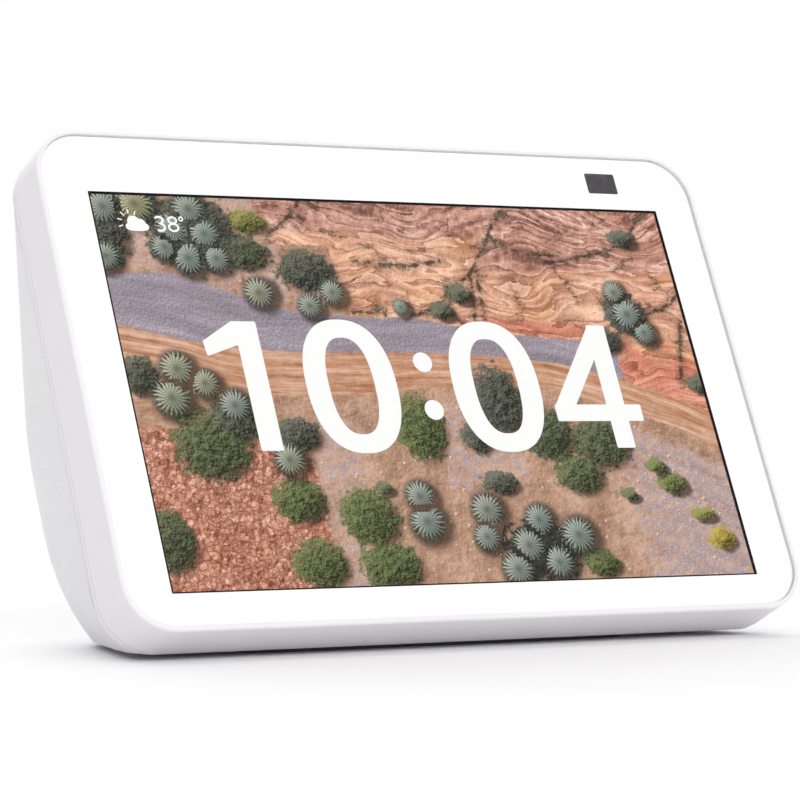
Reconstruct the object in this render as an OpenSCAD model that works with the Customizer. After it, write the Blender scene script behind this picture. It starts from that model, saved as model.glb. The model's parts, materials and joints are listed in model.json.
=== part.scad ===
// Tabletop smart display: a tilted screen in a shallow frame, with a domed fabric-covered
// speaker body behind it.  Millimetres, +Z up, screen facing -Y, origin at the middle of the
// footprint on the table.  panel() places a piece in the leaning screen's own axes:
// x across, y as depth behind the glass face, z up along the screen, from the frame's middle.

/* [Front frame] */
// Width of the front frame
frame_w = 200.4; // [196:0.1:206]
// Height of the front frame along its lean
frame_h = 135.8; // [134:0.1:140]
// Outer corner radius of the frame
frame_r = 13.3; // [12:0.1:16]
// Depth of the frame behind the glass face
frame_depth = 14.2; // [13.8:0.1:15]
// Lean of the screen back from upright, in degrees
tilt = 25.3; // [22:0.1:28]
// Width of the rounded lip around the glass
lip = 1.3; // [1:0.1:1.8]

/* [Display] */
// Width of the clear window in the white print
window_w = 173.4; // [165:0.1:175]
// Height of the clear window
window_h = 108.8; // [100:0.1:109.5]
// How far the window's middle sits below the frame's middle
window_drop = 3.5; // [3:0.1:4]
// Thickness of the cover glass
glass_t = 1.1; // [0.7:0.1:1.1]

/* [Camera] */
// Place of the camera across the frame
camera_x = 70.7; // [68:0.1:72]
// Place of the camera up the frame
camera_up = 58.8; // [58.5:0.1:59]
// Width of the camera's clear window
camera_w = 9.7; // [8:0.1:10]
// Height of the camera's clear window
camera_h = 6.2; // [5:0.1:6.4]
// Travel of the shutter slider
shutter_travel = 11.2; // [10:0.1:11.4]

/* [Buttons] */
// Spacing of the top buttons
button_pitch = 24; // [20:1:26]
// Length of a button cap
button_l = 13; // [10:0.5:14]
// Width of a button cap across the frame's top
button_w = 3.4; // [2.4:0.1:3.6]
// Press travel of a button
button_travel = 0.5; // [0.3:0.05:0.5]

/* [Rear body] */
// Overall depth of the display
overall_depth = 99; // [97:0.5:101]
// Wall thickness of the rear housing
housing_wall = 2.5; // [2:0.1:3]
// Thickness of the fabric layer
fabric_t = 1.1; // [0.8:0.1:1.1]

/* [Speakers] */
// Outer radius of a driver
driver_r = 21.5; // [20:0.5:22]
// Outer radius of the passive radiator
radiator_r = 17; // [15:0.5:18]
// Cone travel each way from rest
cone_travel = 1.5; // [0.5:0.1:1.8]

/* [Power inlet] */
// Radius of the socket
socket_r = 2.9; // [2.7:0.05:3.2]
// Radius of the centre pin
pin_r = 1.05; // [0.6:0.05:1.25]

/* [Hidden] */
$fn = 48;
eps = 0.02;

// Depths behind the glass face
print_t = 0.1;
tape_d = glass_t + print_t;
ledge_d = 1.45;
ledge_back_d = 3.2;
lcd_d = 1.55;
lcd_back_d = 2.75;
tray_d = 2.8;
films_d = 2.85;
guide_d = 3.2;
guide_back_d = 3.9;
tray_floor_d = 4.2;
tray_back_d = 4.6;
bracket_d = 4.75;
bracket_back_d = 5.95;
button_d = 7.5;
board_d = 9.5;
board_back_d = 10.9;
can_back_d = 13.6;
trim_d = frame_depth + 0.3;
shell_d = trim_d + 1.5;
lid_d = 22.3;
lid_back_d = 24.3;

// Frame and panel place: the frame's lowest corner clears the table by the foot's height
foot_h = 1;
wall = 2.2;
cavity_w = frame_w - 2 * wall;
cavity_h = frame_h - 2 * wall;
cavity_r = frame_r - wall;
top_v = frame_h / 2;
under_top_v = top_v - wall;
lip_round = 0.9;
panel_y = -overall_depth / 2 + (top_v - lip_round) * sin(tilt);
panel_z = foot_h + top_v * cos(tilt) + shell_d * sin(tilt);

// Dome of the rear body: rounded sections that shrink along superellipse arcs
dome_depth = 0.7055 * overall_depth;
dome_drop = 33;
dome_side_power = 2.45;
dome_top_power = 1.9;
dome_corner_power = 0.235;
dome_steps = 14;
fabric_in = 0.35;
housing_in = fabric_in + fabric_t + 0.05;
inner_in = housing_in + housing_wall;
base_z = 1.6;
base_plate_z = foot_h;
base_plate_top = 3.4;

// Speaker box, in side view [y, z]
box_half = 62;
box_back = 37.8;
box_profile = [
    side_point(lid_back_d, -58), [25, 7], [33.5, 20], [box_back, 34],
    [box_back, 72], [34, 86], side_point(lid_back_d, 30)
];
box_middle = [12, 42];
driver_at = [13, 41];
radiator_z = 53;

// Power inlet
port_z = 22;
port_floor_y = 40;
port_w = 31;
port_h = 17;
port_r = 5;
port_wall = 1.5;

// Fasteners: head radius, head height, shaft radius, shaft length
small_screw = [1.6, 1.1, 0.8, 2.7];
long_screw = [2.3, 1.3, 1.2, 7];
driver_screw = [1.7, 1, 0.9, 4];
bracket_spots = [for (sx = [-1, 1], v = [-49, 0, 49]) [sx * 94.2, v]];
board_spots = [for (sx = [-1, 1], v = [-34, 18]) [sx * 48, v]];
housing_spots = [[-91, -42], [91, -42], [-91, 38], [91, 38], [-40, -59], [40, -59]];
base_spots = [for (sx = [-1, 1]) for (p = [[52, -14], [46, 20]]) [sx * p[0], p[1]]];

button_xs = [-button_pitch, 0, button_pitch];
switch_v = 61.5;
switch_h = 1.55;
stem_v = switch_v + switch_h + button_travel + 0.05;
mic_xs = [-50, 50];
knob_x = camera_x + 9.3;
knob_l = 8.2;
blade_l = 12;
blade_x = camera_x + camera_w / 2 + 0.85 + blade_l / 2;

function side_point(d, v) = [
    panel_y + d * cos(tilt) + v * sin(tilt),
    panel_z - d * sin(tilt) + v * cos(tilt)
];
function arc_left(q, power) = pow(1 - pow(q, power), 1 / power);
function inward(points, centre, keep) = [for (p = points) centre + (p - centre) * keep];

module panel() {
    translate([0, panel_y, panel_z])
        rotate([-tilt, 0, 0])
            children();
}

// A flat outline in x and z, given a thickness from one depth to another
module layer(from, to) {
    translate([0, to, 0])
        rotate([90, 0, 0])
            linear_extrude(to - from)
                children();
}

module rounded(w, h, r) {
    hull()
        for (sx = [-1, 1], sz = [-1, 1])
            translate([sx * (w / 2 - r), sz * (h / 2 - r)])
                circle(r);
}

module block(x, d, v) {
    translate([x[0], d[0], v[0]])
        cube([x[1] - x[0], d[1] - d[0], v[1] - v[0]]);
}

module rod_back(r, from, to) {
    translate([0, to, 0])
        rotate([90, 0, 0])
            cylinder(r = r, h = to - from);
}

// Solid of the rear body, inset from its outer envelope; lead carries it on towards the screen
module dome(inset, lead = 0) {
    depth = dome_depth - inset;
    panel()
        hull()
            for (i = [0 : dome_steps]) {
                q = min(sin(90 * i / dome_steps), 0.9998);
                half_w = (frame_w / 2 - inset) * arc_left(q, dome_side_power);
                half_h = (frame_h / 2 - inset) * arc_left(q, dome_top_power);
                least = min(half_w, half_h);
                edge_r = max(frame_r - inset, 3);
                r = min(edge_r + (least - edge_r) * pow(q, dome_corner_power), least * 0.999);
                back = shell_d + depth * q;
                translate([0, 0, -dome_drop * q])
                    layer(back - (i == 0 ? lead : 0), back + 0.01)
                        for (sx = [-1, 1], sz = [-1, 1])
                            translate([sx * (half_w - r), sz * (half_h - r)])
                                circle(r);
            }
}

module below(z) {
    translate([-150, -100, z - 50])
        cube([300, 200, 50]);
}

// The inlet's recess, running back out of the body
module port_outline(extra) {
    translate([0, 80, port_z])
        rotate([90, 0, 0])
            linear_extrude(80 - port_floor_y + port_wall)
                rounded(port_w + 2 * extra, port_h + 2 * extra, port_r + extra);
}

module front_frame() {
    color("white")
        panel()
            difference() {
                hull() {
                    layer(0, eps)
                        rounded(frame_w - 2 * lip_round, frame_h - 2 * lip_round, frame_r - lip_round);
                    layer(0.25, 0.27)
                        rounded(frame_w - 0.7, frame_h - 0.7, frame_r - 0.35);
                    layer(lip_round, frame_depth)
                        rounded(frame_w, frame_h, frame_r);
                }
                layer(-1, ledge_d)
                    rounded(frame_w - 2 * lip, frame_h - 2 * lip, frame_r - lip);
                layer(-1, ledge_back_d + 1)
                    rounded(190, 125.4, 8);
                layer(ledge_back_d, frame_depth + 1)
                    rounded(cavity_w, cavity_h, cavity_r);
                for (x = button_xs)
                    button_slot(x, button_l + 0.3, button_w + 0.3);
                button_slot(knob_x - shutter_travel / 2, knob_l + shutter_travel + 1.8, 2.9);
                for (x = mic_xs)
                    translate([x, button_d, under_top_v - 1])
                        cylinder(r = 0.6, h = wall + 2);
            }
    color("white")
        panel()
            for (p = bracket_spots)
                translate([p[0], 0, p[1]])
                    difference() {
                        rod_back(2.2, ledge_back_d, bracket_d - 0.05);
                        rod_back(0.85, ledge_back_d - 1, bracket_d + 1);
                    }
}

// A round-ended slot through the frame's top wall
module button_slot(x, length, width) {
    translate([x, button_d, under_top_v - 1]) {
        for (s = [-1, 1])
            translate([s * (length - width) / 2, 0, 0])
                cylinder(d = width, h = wall + 2);
        translate([-(length - width) / 2, -width / 2, 0])
            cube([length - width, width, wall + 2]);
    }
}

module cover_glass() {
    color([0.85, 0.9, 0.95, 0.4])
        panel()
            layer(0, glass_t)
                rounded(frame_w - 2 * lip - 0.3, frame_h - 2 * lip - 0.3, frame_r - lip - 0.15);
}

module bezel_print() {
    color("white")
        panel()
            layer(glass_t, glass_t + print_t)
                difference() {
                    rounded(frame_w - 2 * lip - 0.8, frame_h - 2 * lip - 0.8, frame_r - lip - 0.4);
                    translate([0, -window_drop])
                        square([window_w, window_h], center = true);
                    translate([camera_x, camera_up])
                        square([camera_w, camera_h], center = true);
                }
}

module camera_window() {
    color([0.25, 0.25, 0.27])
        panel()
            translate([camera_x, 0, camera_up])
                layer(glass_t, glass_t + print_t)
                    square([camera_w - 0.05, camera_h - 0.05], center = true);
}

module glass_tape() {
    color("dimgray")
        panel()
            layer(tape_d, ledge_d)
                difference() {
                    rounded(frame_w - 2 * lip - 1, frame_h - 2 * lip - 1, frame_r - lip - 0.5);
                    rounded(191, 126.4, 8);
                }
}

module touch_sensor() {
    color([0.7, 0.75, 0.8, 0.5])
        panel()
            translate([0, 0, -window_drop])
                layer(tape_d + 0.03, ledge_d)
                    square([180, 114], center = true);
}

module lcd_panel() {
    color([0.05, 0.06, 0.08])
        panel()
            translate([0, 0, -window_drop])
                layer(lcd_d, lcd_back_d)
                    square([179, 113.5], center = true);
}

module optical_films() {
    color("whitesmoke")
        panel()
            translate([0, 0, -window_drop])
                layer(films_d, films_d + 0.3)
                    square([177, 111], center = true);
}

module light_guide() {
    color([0.9, 0.95, 1, 0.6])
        panel()
            translate([0, 0, -window_drop])
                layer(guide_d, guide_back_d)
                    square([176, 109.5], center = true);
}

module led_strip() {
    led_z = -window_drop - 109.5 / 2 - 1.1;
    color("khaki")
        panel() {
            translate([0, 0, led_z])
                layer(guide_d, guide_back_d)
                    square([168, 0.7], center = true);
            for (i = [-9.5 : 9.5])
                translate([i * 8.4, 0, led_z + 0.55])
                    layer(guide_d + 0.1, guide_back_d - 0.1)
                        square([3, 0.5], center = true);
        }
}

module backlight_tray() {
    color("silver")
        panel()
            translate([0, 0, -window_drop])
                difference() {
                    layer(tray_d, tray_back_d)
                        square([180.5, 115.4], center = true);
                    layer(tray_d - 1, tray_floor_d)
                        square([179.5, 114.4], center = true);
                }
}

module display_bracket() {
    color("slategray")
        panel()
            difference() {
                union() {
                    translate([0, 0, -2.5])
                        layer(bracket_d, bracket_back_d)
                            rounded(cavity_w - 1, cavity_h - 6, 11);
                    for (p = board_spots)
                        translate([p[0], 0, p[1]])
                            rod_back(2.6, bracket_back_d - 0.5, board_d);
                    for (p = housing_spots)
                        translate([p[0], 0, p[1]])
                            rod_back(3, bracket_back_d - 0.5, 12.1);
                }
                for (p = bracket_spots)
                    translate([p[0], 0, p[1]])
                        rod_back(0.95, 0, 10);
                for (p = board_spots)
                    translate([p[0], 0, p[1]])
                        rod_back(0.85, bracket_back_d + 0.4, 10);
                for (p = housing_spots)
                    translate([p[0], 0, p[1]])
                        rod_back(1.25, bracket_back_d + 0.4, 13);
                block([63, 90], [4, 7], [54.6, 70]);
                block([-17, 17], [4, 7], [-64, -57]);
                for (sx = [-1, 1], v = [-30, 30])
                    translate([sx * 68, 0, v])
                        layer(4, 7)
                            rounded(30, 34, 6);
            }
}

module camera_module() {
    color("black")
        panel()
            translate([camera_x - 0.6, 0, camera_up - 0.4])
                difference() {
                    union() {
                        layer(3.4, 6.4)
                            square([6.4, 5.2], center = true);
                        rod_back(2.4, 2.1, 3.5);
                    }
                    rod_back(1.5, 0, 5.5);
                }
}

module camera_lens() {
    color([0.1, 0.1, 0.2])
        panel()
            translate([camera_x - 0.6, 0, camera_up - 0.4]) {
                rod_back(1.48, 2.3, 3.1);
                rod_back(1.3, 3.3, 4.6);
            }
}

module camera_board() {
    color("darkgreen")
        panel()
            block([camera_x - 7.5, camera_x + 7.5], [6.45, 7.2], [camera_up - 3.4, camera_up + 2.3]);
}

module light_sensor() {
    color("gray")
        panel()
            block([camera_x + 3.3, camera_x + 4.7], [2.2, 6.4], [camera_up - 1.2, camera_up + 0.2]);
}

module shutter_blade() {
    color("white")
        panel() {
            block([blade_x - blade_l / 2, blade_x + blade_l / 2], [1.32, 1.72],
                [camera_up - camera_h / 2 - 0.5, camera_up + 3.55]);
            block([knob_x - 4, knob_x + 4], [1.7, 8.3], [camera_up + 2.65, camera_up + 3.55]);
        }
}

module shutter_knob() {
    color("whitesmoke")
        panel() {
            block([knob_x - knob_l / 2, knob_x + knob_l / 2], [6.3, 8.7],
                [camera_up + 3.6, under_top_v + 0.2]);
            difference() {
                block([knob_x - knob_l / 2, knob_x + knob_l / 2], [6.3, 8.7],
                    [under_top_v + 0.1, top_v + 0.8]);
                for (i = [-2 : 2])
                    block([knob_x + i * 1.3 - 0.25, knob_x + i * 1.3 + 0.25], [6, 9],
                        [top_v + 0.5, top_v + 2]);
            }
        }
}

// One push button: cap, stop flange under the frame's wall, and the stem over its switch
module top_button(x) {
    color("whitesmoke")
        panel()
            translate([x, button_d, 0]) {
                for (s = [-1, 1])
                    translate([s * (button_l - button_w) / 2, 0, under_top_v - 0.15])
                        cylinder(d = button_w, h = wall + 0.75);
                translate([-(button_l - button_w) / 2, -button_w / 2, under_top_v - 0.15])
                    cube([button_l - button_w, button_w, wall + 0.75]);
                translate([-button_l / 2 - 1, -button_w / 2 - 0.8, under_top_v - 0.95])
                    cube([button_l + 2, button_w + 1.6, 0.85]);
                translate([0, 0, stem_v])
                    cylinder(r = 1.2, h = under_top_v - 0.9 - stem_v);
            }
}

module mic_camera_button() {
    top_button(button_xs[0]);
}

module volume_down_button() {
    top_button(button_xs[1]);
}

module volume_up_button() {
    top_button(button_xs[2]);
}

module button_switches() {
    color("dimgray")
        panel()
            for (x = button_xs)
                translate([x, button_d, switch_v]) {
                    translate([-2.1, -1.6, 0])
                        cube([4.2, 3.2, switch_h - 0.45]);
                    translate([0, 0, 1])
                        cylinder(r = 0.9, h = switch_h - 1);
                }
}

module button_board() {
    color("darkgreen")
        panel()
            block([-36, 36], [4.2, 11.4], [60.5, switch_v - 0.05]);
}

module microphones() {
    color("silver")
        panel()
            for (x = mic_xs)
                translate([x, button_d, 0]) {
                    translate([-4, -3, 62.9])
                        cube([8, 6, 0.8]);
                    difference() {
                        translate([-2, -2, 63.7])
                            cube([4, 4, 1.95]);
                        translate([0, 0, 64.5])
                            cylinder(r = 0.6, h = 3);
                    }
                }
}

module main_board() {
    color("darkgreen")
        panel()
            difference() {
                block([-53, 53], [board_d + 0.02, board_back_d], [-39, 23]);
                for (p = board_spots)
                    translate([p[0], 0, p[1]])
                        rod_back(1, board_d - 1, board_back_d + 1);
            }
}

module board_chips() {
    color("black")
        panel() {
            block([-12, 4], [board_back_d, board_back_d + 1.3], [-12, 4]);
            block([8, 20], [board_back_d, board_back_d + 1.1], [-10, 2]);
            block([-38, -28], [board_back_d, board_back_d + 1.2], [-8, 2]);
            block([-44, -32], [board_back_d, board_back_d + 3], [-30, -22]);
            block([30, 44], [board_back_d, board_back_d + 4], [-34, -26]);
            block([-4, 12], [board_back_d, board_back_d + 2], [15, 20]);
        }
}

// Two pressed covers: the processor's and the radio's
module shield_cans() {
    color("silver")
        panel()
            for (c = [[-15, 23, -15, 7], [-41, -25, -11, 5]])
                difference() {
                    block([c[0], c[1]], [board_back_d, can_back_d], [c[2], c[3]]);
                    block([c[0] + 0.4, c[1] - 0.4], [board_back_d - 1, can_back_d - 0.4],
                        [c[2] + 0.4, c[3] - 0.4]);
                }
}

module heat_sink() {
    color("lightgray")
        panel() {
            block([-22, 30], [can_back_d + 0.1, can_back_d + 1.6], [-24, 12]);
            for (i = [0 : 8])
                block([-22 + i * 6.25, -20 + i * 6.25], [can_back_d + 1.5, 20.5], [-24, 12]);
        }
}

module antennas() {
    color("goldenrod")
        panel()
            for (sx = [-1, 1])
                translate([sx * 97.4, 8.8, 22])
                    cube([0.8, 3, 28], center = true);
}

// Flat cable from the panel's lower edge, round the bracket and up to the board
module display_flex() {
    color("darkorange")
        panel() {
            block([-15, 15], [2, 2.2], [-62, -60.3]);
            block([-15, 15], [2, 8.6], [-62.2, -62]);
            block([-15, 15], [8.4, 8.6], [-62.1, -30]);
            block([-14, 14], [8.6, 9.5], [-36, -31]);
        }
}

module camera_flex() {
    color("darkorange")
        panel() {
            block([68, 72], [7.25, 7.4], [8, 61]);
            block([46, 72], [7.25, 7.4], [4, 8.1]);
            block([46, 51], [7.4, 9.5], [4, 8]);
        }
}

module speaker_wires() {
    color("firebrick")
        panel()
            for (sx = [-1, 1], side = [0, 2])
                translate([sx * (34 + side), 0, sx < 0 ? -26 : -31])
                    rod_back(0.7, sx < 0 ? 14 : 15, lid_d - 0.1);
}

module box_solid(half, profile) {
    translate([half, 0, 0])
        rotate([90, 0, -90])
            linear_extrude(2 * half)
                mirror([1, 0])
                    polygon(profile);
}

module port_notch(extra) {
    translate([-17 - extra, 21 - extra, 0])
        cube([34 + 2 * extra, 40, 33 + extra]);
}

module speaker_box() {
    color("darkslategray") {
        difference() {
            box_solid(box_half, box_profile);
            port_notch(0);
            difference() {
                union() {
                    box_solid(box_half - 2, inward(box_profile, box_middle, 0.94));
                    panel()
                        block([2 - box_half, box_half - 2], [lid_back_d - 1, lid_back_d + 4],
                            [-53, 26]);
                }
                port_notch(2);
            }
            translate([-box_half - 1, driver_at[0], driver_at[1]])
                rotate([0, 90, 0])
                    cylinder(r = 18.2, h = 2 * box_half + 2);
            for (sx = [-1, 1], a = [20 : 90 : 290])
                translate([sx * box_half, driver_at[0], driver_at[1]])
                    rotate([a, 0, 0])
                        translate([0, 20, 0])
                            rotate([0, 90, 0])
                                cylinder(r = 0.95, h = 8, center = true);
            translate([0, box_back + 1, radiator_z])
                rotate([90, 0, 0])
                    cylinder(r = radiator_r - 2, h = 8);
            for (p = base_spots)
                translate([p[0], p[1], 0])
                    cylinder(r = 1.25, h = 10.5);
        }
        for (p = base_spots)
            translate([p[0], p[1], base_plate_top + 0.05])
                difference() {
                    cylinder(r = 3, h = 7.02 - base_plate_top);
                    translate([0, 0, -1])
                        cylinder(r = 1.25, h = 9);
                }
    }
}

module speaker_box_lid() {
    color("darkslategray")
        panel()
            translate([0, 0, -14])
                layer(lid_d, lid_back_d - 0.02)
                    square([2 * box_half, 88], center = true);
}

// Pieces of a driver that faces +X, with its axis on the X line and its mounting face at x = 0
module basket() {
    difference() {
        rotate([0, 90, 0])
            rotate_extrude()
                polygon([[18, 0.02], [18, -1], [13, -12], [7.5, -12], [7.5, -10.8], [12, -10.8],
                    [16.6, 1.2], [16.6, 2], [driver_r, 2], [driver_r, 0.02]]);
        for (a = [0 : 45 : 135])
            rotate([a, 0, 0])
                translate([-6, 0, 0])
                    cube([7, 4, 60], center = true);
        for (a = [20 : 90 : 290])
            rotate([a, 0, 0])
                translate([0, 20, 0])
                    rotate([0, 90, 0])
                        cylinder(r = 1, h = 8, center = true);
    }
}

module magnet() {
    rotate([0, 90, 0])
        difference() {
            translate([0, 0, -21])
                cylinder(r = 13.5, h = 9 - eps);
            translate([0, 0, -17.5 - cone_travel])
                difference() {
                    cylinder(r = 6.9, h = 9);
                    cylinder(r = 5.9, h = 9);
                }
        }
}

module surround() {
    rotate([0, 90, 0])
        rotate_extrude()
            difference() {
                translate([16.2, 2.2])
                    circle(1.9, $fn = 32);
                translate([16.2, 2.2])
                    circle(1.4, $fn = 32);
                translate([10, -2])
                    square([12, 4.05]);
            }
}

module cone() {
    rotate([0, 90, 0]) {
        rotate_extrude()
            polygon([[13.6, 2], [13.6, 1.6], [6.2, -6.4], [6.2, -16], [6.6, -16], [6.6, -6.8],
                [14.15, 1], [14.15, 2]]);
        translate([0, 0, -6])
            cylinder(r = 7, h = 0.6);
    }
}

module at_driver(side) {
    translate([side * box_half, driver_at[0], driver_at[1]])
        mirror([side < 0 ? 1 : 0, 0, 0])
            children();
}

module left_driver_basket() {
    color("black")
        at_driver(-1)
            basket();
}

module right_driver_basket() {
    color("black")
        at_driver(1)
            basket();
}

module left_driver_magnet() {
    color("dimgray")
        at_driver(-1)
            magnet();
}

module right_driver_magnet() {
    color("dimgray")
        at_driver(1)
            magnet();
}

module left_surround() {
    color("black")
        at_driver(-1)
            surround();
}

module right_surround() {
    color("black")
        at_driver(1)
            surround();
}

module left_cone() {
    color("gray")
        at_driver(-1)
            cone();
}

module right_cone() {
    color("gray")
        at_driver(1)
            cone();
}

module at_radiator() {
    translate([0, box_back, radiator_z])
        rotate([-90, 0, 0])
            children();
}

module radiator_frame() {
    color("black")
        at_radiator()
            difference() {
                translate([0, 0, 0.02])
                    cylinder(r = radiator_r, h = 1.5);
                translate([0, 0, -1])
                    cylinder(r = radiator_r - 2.5, h = 4);
            }
}

module radiator_surround() {
    color("black")
        at_radiator()
            rotate_extrude()
                difference() {
                    translate([radiator_r - 4, 1.6])
                        circle(1.45, $fn = 32);
                    translate([radiator_r - 4, 1.6])
                        circle(1, $fn = 32);
                    translate([radiator_r - 8, -2])
                        square([8, 3.54]);
                }
}

module passive_radiator() {
    color("gray")
        at_radiator()
            translate([0, 0, 0.3])
                cylinder(r = radiator_r - 5.6, h = 1.2);
}

module power_jack() {
    color("black")
        difference() {
            union() {
                translate([-5, 24, port_z - 6])
                    cube([10, 14.4, 12]);
                translate([0, port_floor_y, port_z])
                    rotate([90, 0, 0])
                        cylinder(r = 3.9, h = 3);
            }
            translate([0, port_floor_y + 1, port_z])
                rotate([90, 0, 0])
                    cylinder(r = socket_r, h = 12);
        }
}

module jack_pin() {
    color("gold")
        translate([0, port_floor_y - 0.5, port_z])
            rotate([90, 0, 0])
                cylinder(r = pin_r, h = 10.5 - eps);
}

// Recessed inlet plate, its rim following the body's surface
module port_plate() {
    color("white")
        intersection() {
            difference() {
                port_outline(1.3);
                translate([0, port_wall, 0])
                    port_outline(0);
                translate([0, port_floor_y + 2, port_z])
                    rotate([90, 0, 0])
                        cylinder(r = 3.95, h = 6);
            }
            dome(fabric_in + 0.25);
        }
}

module trim_ring() {
    color("white")
        panel() {
            difference() {
                union() {
                    layer(trim_d, shell_d - 0.03)
                        rounded(frame_w - 0.4, frame_h - 0.4, frame_r - 0.2);
                    layer(12.4, trim_d + 0.5)
                        rounded(cavity_w - 0.4, cavity_h - 0.4, cavity_r - 0.2);
                }
                layer(12, shell_d + 1)
                    rounded(188.6, 124, 8);
            }
            for (p = housing_spots)
                translate([p[0], 0, p[1]])
                    difference() {
                        union() {
                            rod_back(3.1, 12.15, 14.1);
                            if (abs(p[0]) > 60)
                                block([min(0, sign(p[0]) * 4.5), max(0, sign(p[0]) * 4.5)],
                                    [12.5, 14], [-2.8, 2.8]);
                            else
                                block([-2.8, 2.8], [12.5, 14], [-4.5, 0]);
                        }
                        rod_back(1.3, 11, 15);
                    }
        }
}

module rear_housing() {
    color("gainsboro")
        difference() {
            dome(housing_in);
            dome(inner_in, 5);
            below(base_z);
            port_outline(1.45);
            for (i = [-2 : 2], j = [-2 : 2])
                if (abs(i) + abs(j) < 4)
                    translate([0, driver_at[0] + i * 7.5, driver_at[1] + j * 7.5])
                        rotate([0, 90, 0])
                            cylinder(r = 2, h = 240, center = true, $fn = 24);
            for (i = [-2 : 2], j = [-1 : 1])
                translate([i * 8, 60, radiator_z + j * 8])
                    rotate([90, 0, 0])
                        cylinder(r = 2, h = 30, $fn = 24);
        }
}

module fabric_cover() {
    color("lightgray")
        difference() {
            dome(fabric_in);
            dome(fabric_in + fabric_t, 5);
            below(base_z);
            port_outline(1.45);
        }
}

module base_plate() {
    color("white")
        difference() {
            intersection() {
                dome(inner_in + 0.3);
                translate([-100, -60, base_plate_z])
                    cube([200, 120, base_plate_top - base_plate_z]);
            }
            panel()
                block([-150, 150], [shell_d - 1, shell_d + 0.3], [-150, 150]);
            for (p = base_spots)
                translate([p[0], p[1], 0]) {
                    cylinder(r = 1.35, h = 10);
                    cylinder(r = 2.5, h = base_plate_z + 1.35);
                }
        }
}

module rubber_foot() {
    color("dimgray")
        linear_extrude(foot_h - 0.01)
            difference() {
                rounded(124, 60, 18);
                rounded(112, 48, 12);
            }
}

// A pan-head screw along +Z, its head's underside at z = 0 and its shaft going down
module screw(size) {
    cylinder(r = size[0], h = size[1]);
    translate([0, 0, -size[3]])
        cylinder(r = size[2], h = size[3] + 0.1);
}

module screw_from_behind(spot, depth, size) {
    translate([spot[0], depth, spot[1]])
        rotate([-90, 0, 0])
            screw(size);
}

module bracket_and_board_screws() {
    color("silver")
        panel() {
            for (p = bracket_spots)
                screw_from_behind(p, bracket_back_d + eps, small_screw);
            for (p = board_spots)
                screw_from_behind(p, board_back_d + eps, small_screw);
        }
}

module housing_and_base_screws() {
    color("silver") {
        panel()
            for (p = housing_spots)
                screw_from_behind(p, 14.1 + eps, long_screw);
        for (p = base_spots)
            translate([p[0], p[1], base_plate_z + 1.33])
                rotate([180, 0, 0])
                    screw(long_screw);
    }
}

module driver_screws() {
    color("silver")
        for (side = [-1, 1])
            at_driver(side)
                for (a = [20 : 90 : 290])
                    rotate([a, 0, 0])
                        translate([2 + eps, 20, 0])
                            rotate([0, 90, 0])
                                screw(driver_screw);
}

front_frame();
cover_glass();
bezel_print();
glass_tape();
touch_sensor();
lcd_panel();
optical_films();
light_guide();
led_strip();
backlight_tray();
display_bracket();
camera_window();
camera_module();
camera_lens();
camera_board();
light_sensor();
shutter_blade();
shutter_knob();
mic_camera_button();
volume_down_button();
volume_up_button();
button_switches();
button_board();
microphones();
main_board();
board_chips();
shield_cans();
heat_sink();
antennas();
display_flex();
camera_flex();
speaker_wires();
speaker_box();
speaker_box_lid();
left_driver_basket();
left_driver_magnet();
left_surround();
left_cone();
right_driver_basket();
right_driver_magnet();
right_surround();
right_cone();
radiator_frame();
radiator_surround();
passive_radiator();
power_jack();
jack_pin();
port_plate();
trim_ring();
rear_housing();
fabric_cover();
base_plate();
rubber_foot();
bracket_and_board_screws();
housing_and_base_screws();
driver_screws();
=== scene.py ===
"""Tabletop smart display: a leaning screen in a white frame, with a fabric-covered dome behind it."""

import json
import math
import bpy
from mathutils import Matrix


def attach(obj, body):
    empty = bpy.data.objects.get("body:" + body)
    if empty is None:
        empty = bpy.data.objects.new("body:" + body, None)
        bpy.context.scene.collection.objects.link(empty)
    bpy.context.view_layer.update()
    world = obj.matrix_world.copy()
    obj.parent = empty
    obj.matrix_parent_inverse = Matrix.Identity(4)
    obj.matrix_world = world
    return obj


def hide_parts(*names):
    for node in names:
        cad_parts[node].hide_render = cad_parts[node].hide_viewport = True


bl_info = {
    "name": "Smart display",
    "version": (1, 0, 0),
    "blender": (4, 5, 0),
    "location": "View3D > Sidebar > Smart display",
    "description": "Builds the pieces of a tabletop smart display around its packed frame",
    "category": "Object",
}

import bmesh
import bpy
from mathutils import Vector
from mathutils.bvhtree import BVHTree
from mathutils.kdtree import KDTree

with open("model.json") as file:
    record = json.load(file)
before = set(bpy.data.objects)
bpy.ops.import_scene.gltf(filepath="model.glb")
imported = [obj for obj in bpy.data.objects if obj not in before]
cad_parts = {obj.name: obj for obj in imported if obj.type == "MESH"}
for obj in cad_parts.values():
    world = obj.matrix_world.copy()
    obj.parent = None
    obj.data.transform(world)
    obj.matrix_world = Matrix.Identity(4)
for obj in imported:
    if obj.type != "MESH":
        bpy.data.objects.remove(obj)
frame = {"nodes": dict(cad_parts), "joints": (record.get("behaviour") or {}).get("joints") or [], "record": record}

MM = 0.001
HOUSING = "housing"
ACROSS = Vector((1, 0, 0))


def joint_axis(name):
    """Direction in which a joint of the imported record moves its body."""
    return Vector(next(j["axis"] for j in frame["joints"] if j["name"] == name))


def reach(node, direction):
    """How far a CAD node reaches along a direction, lowest and highest, in millimetres."""
    along = [direction.dot(v.co) / MM for v in frame["nodes"][node].data.vertices]
    return min(along), max(along)


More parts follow.
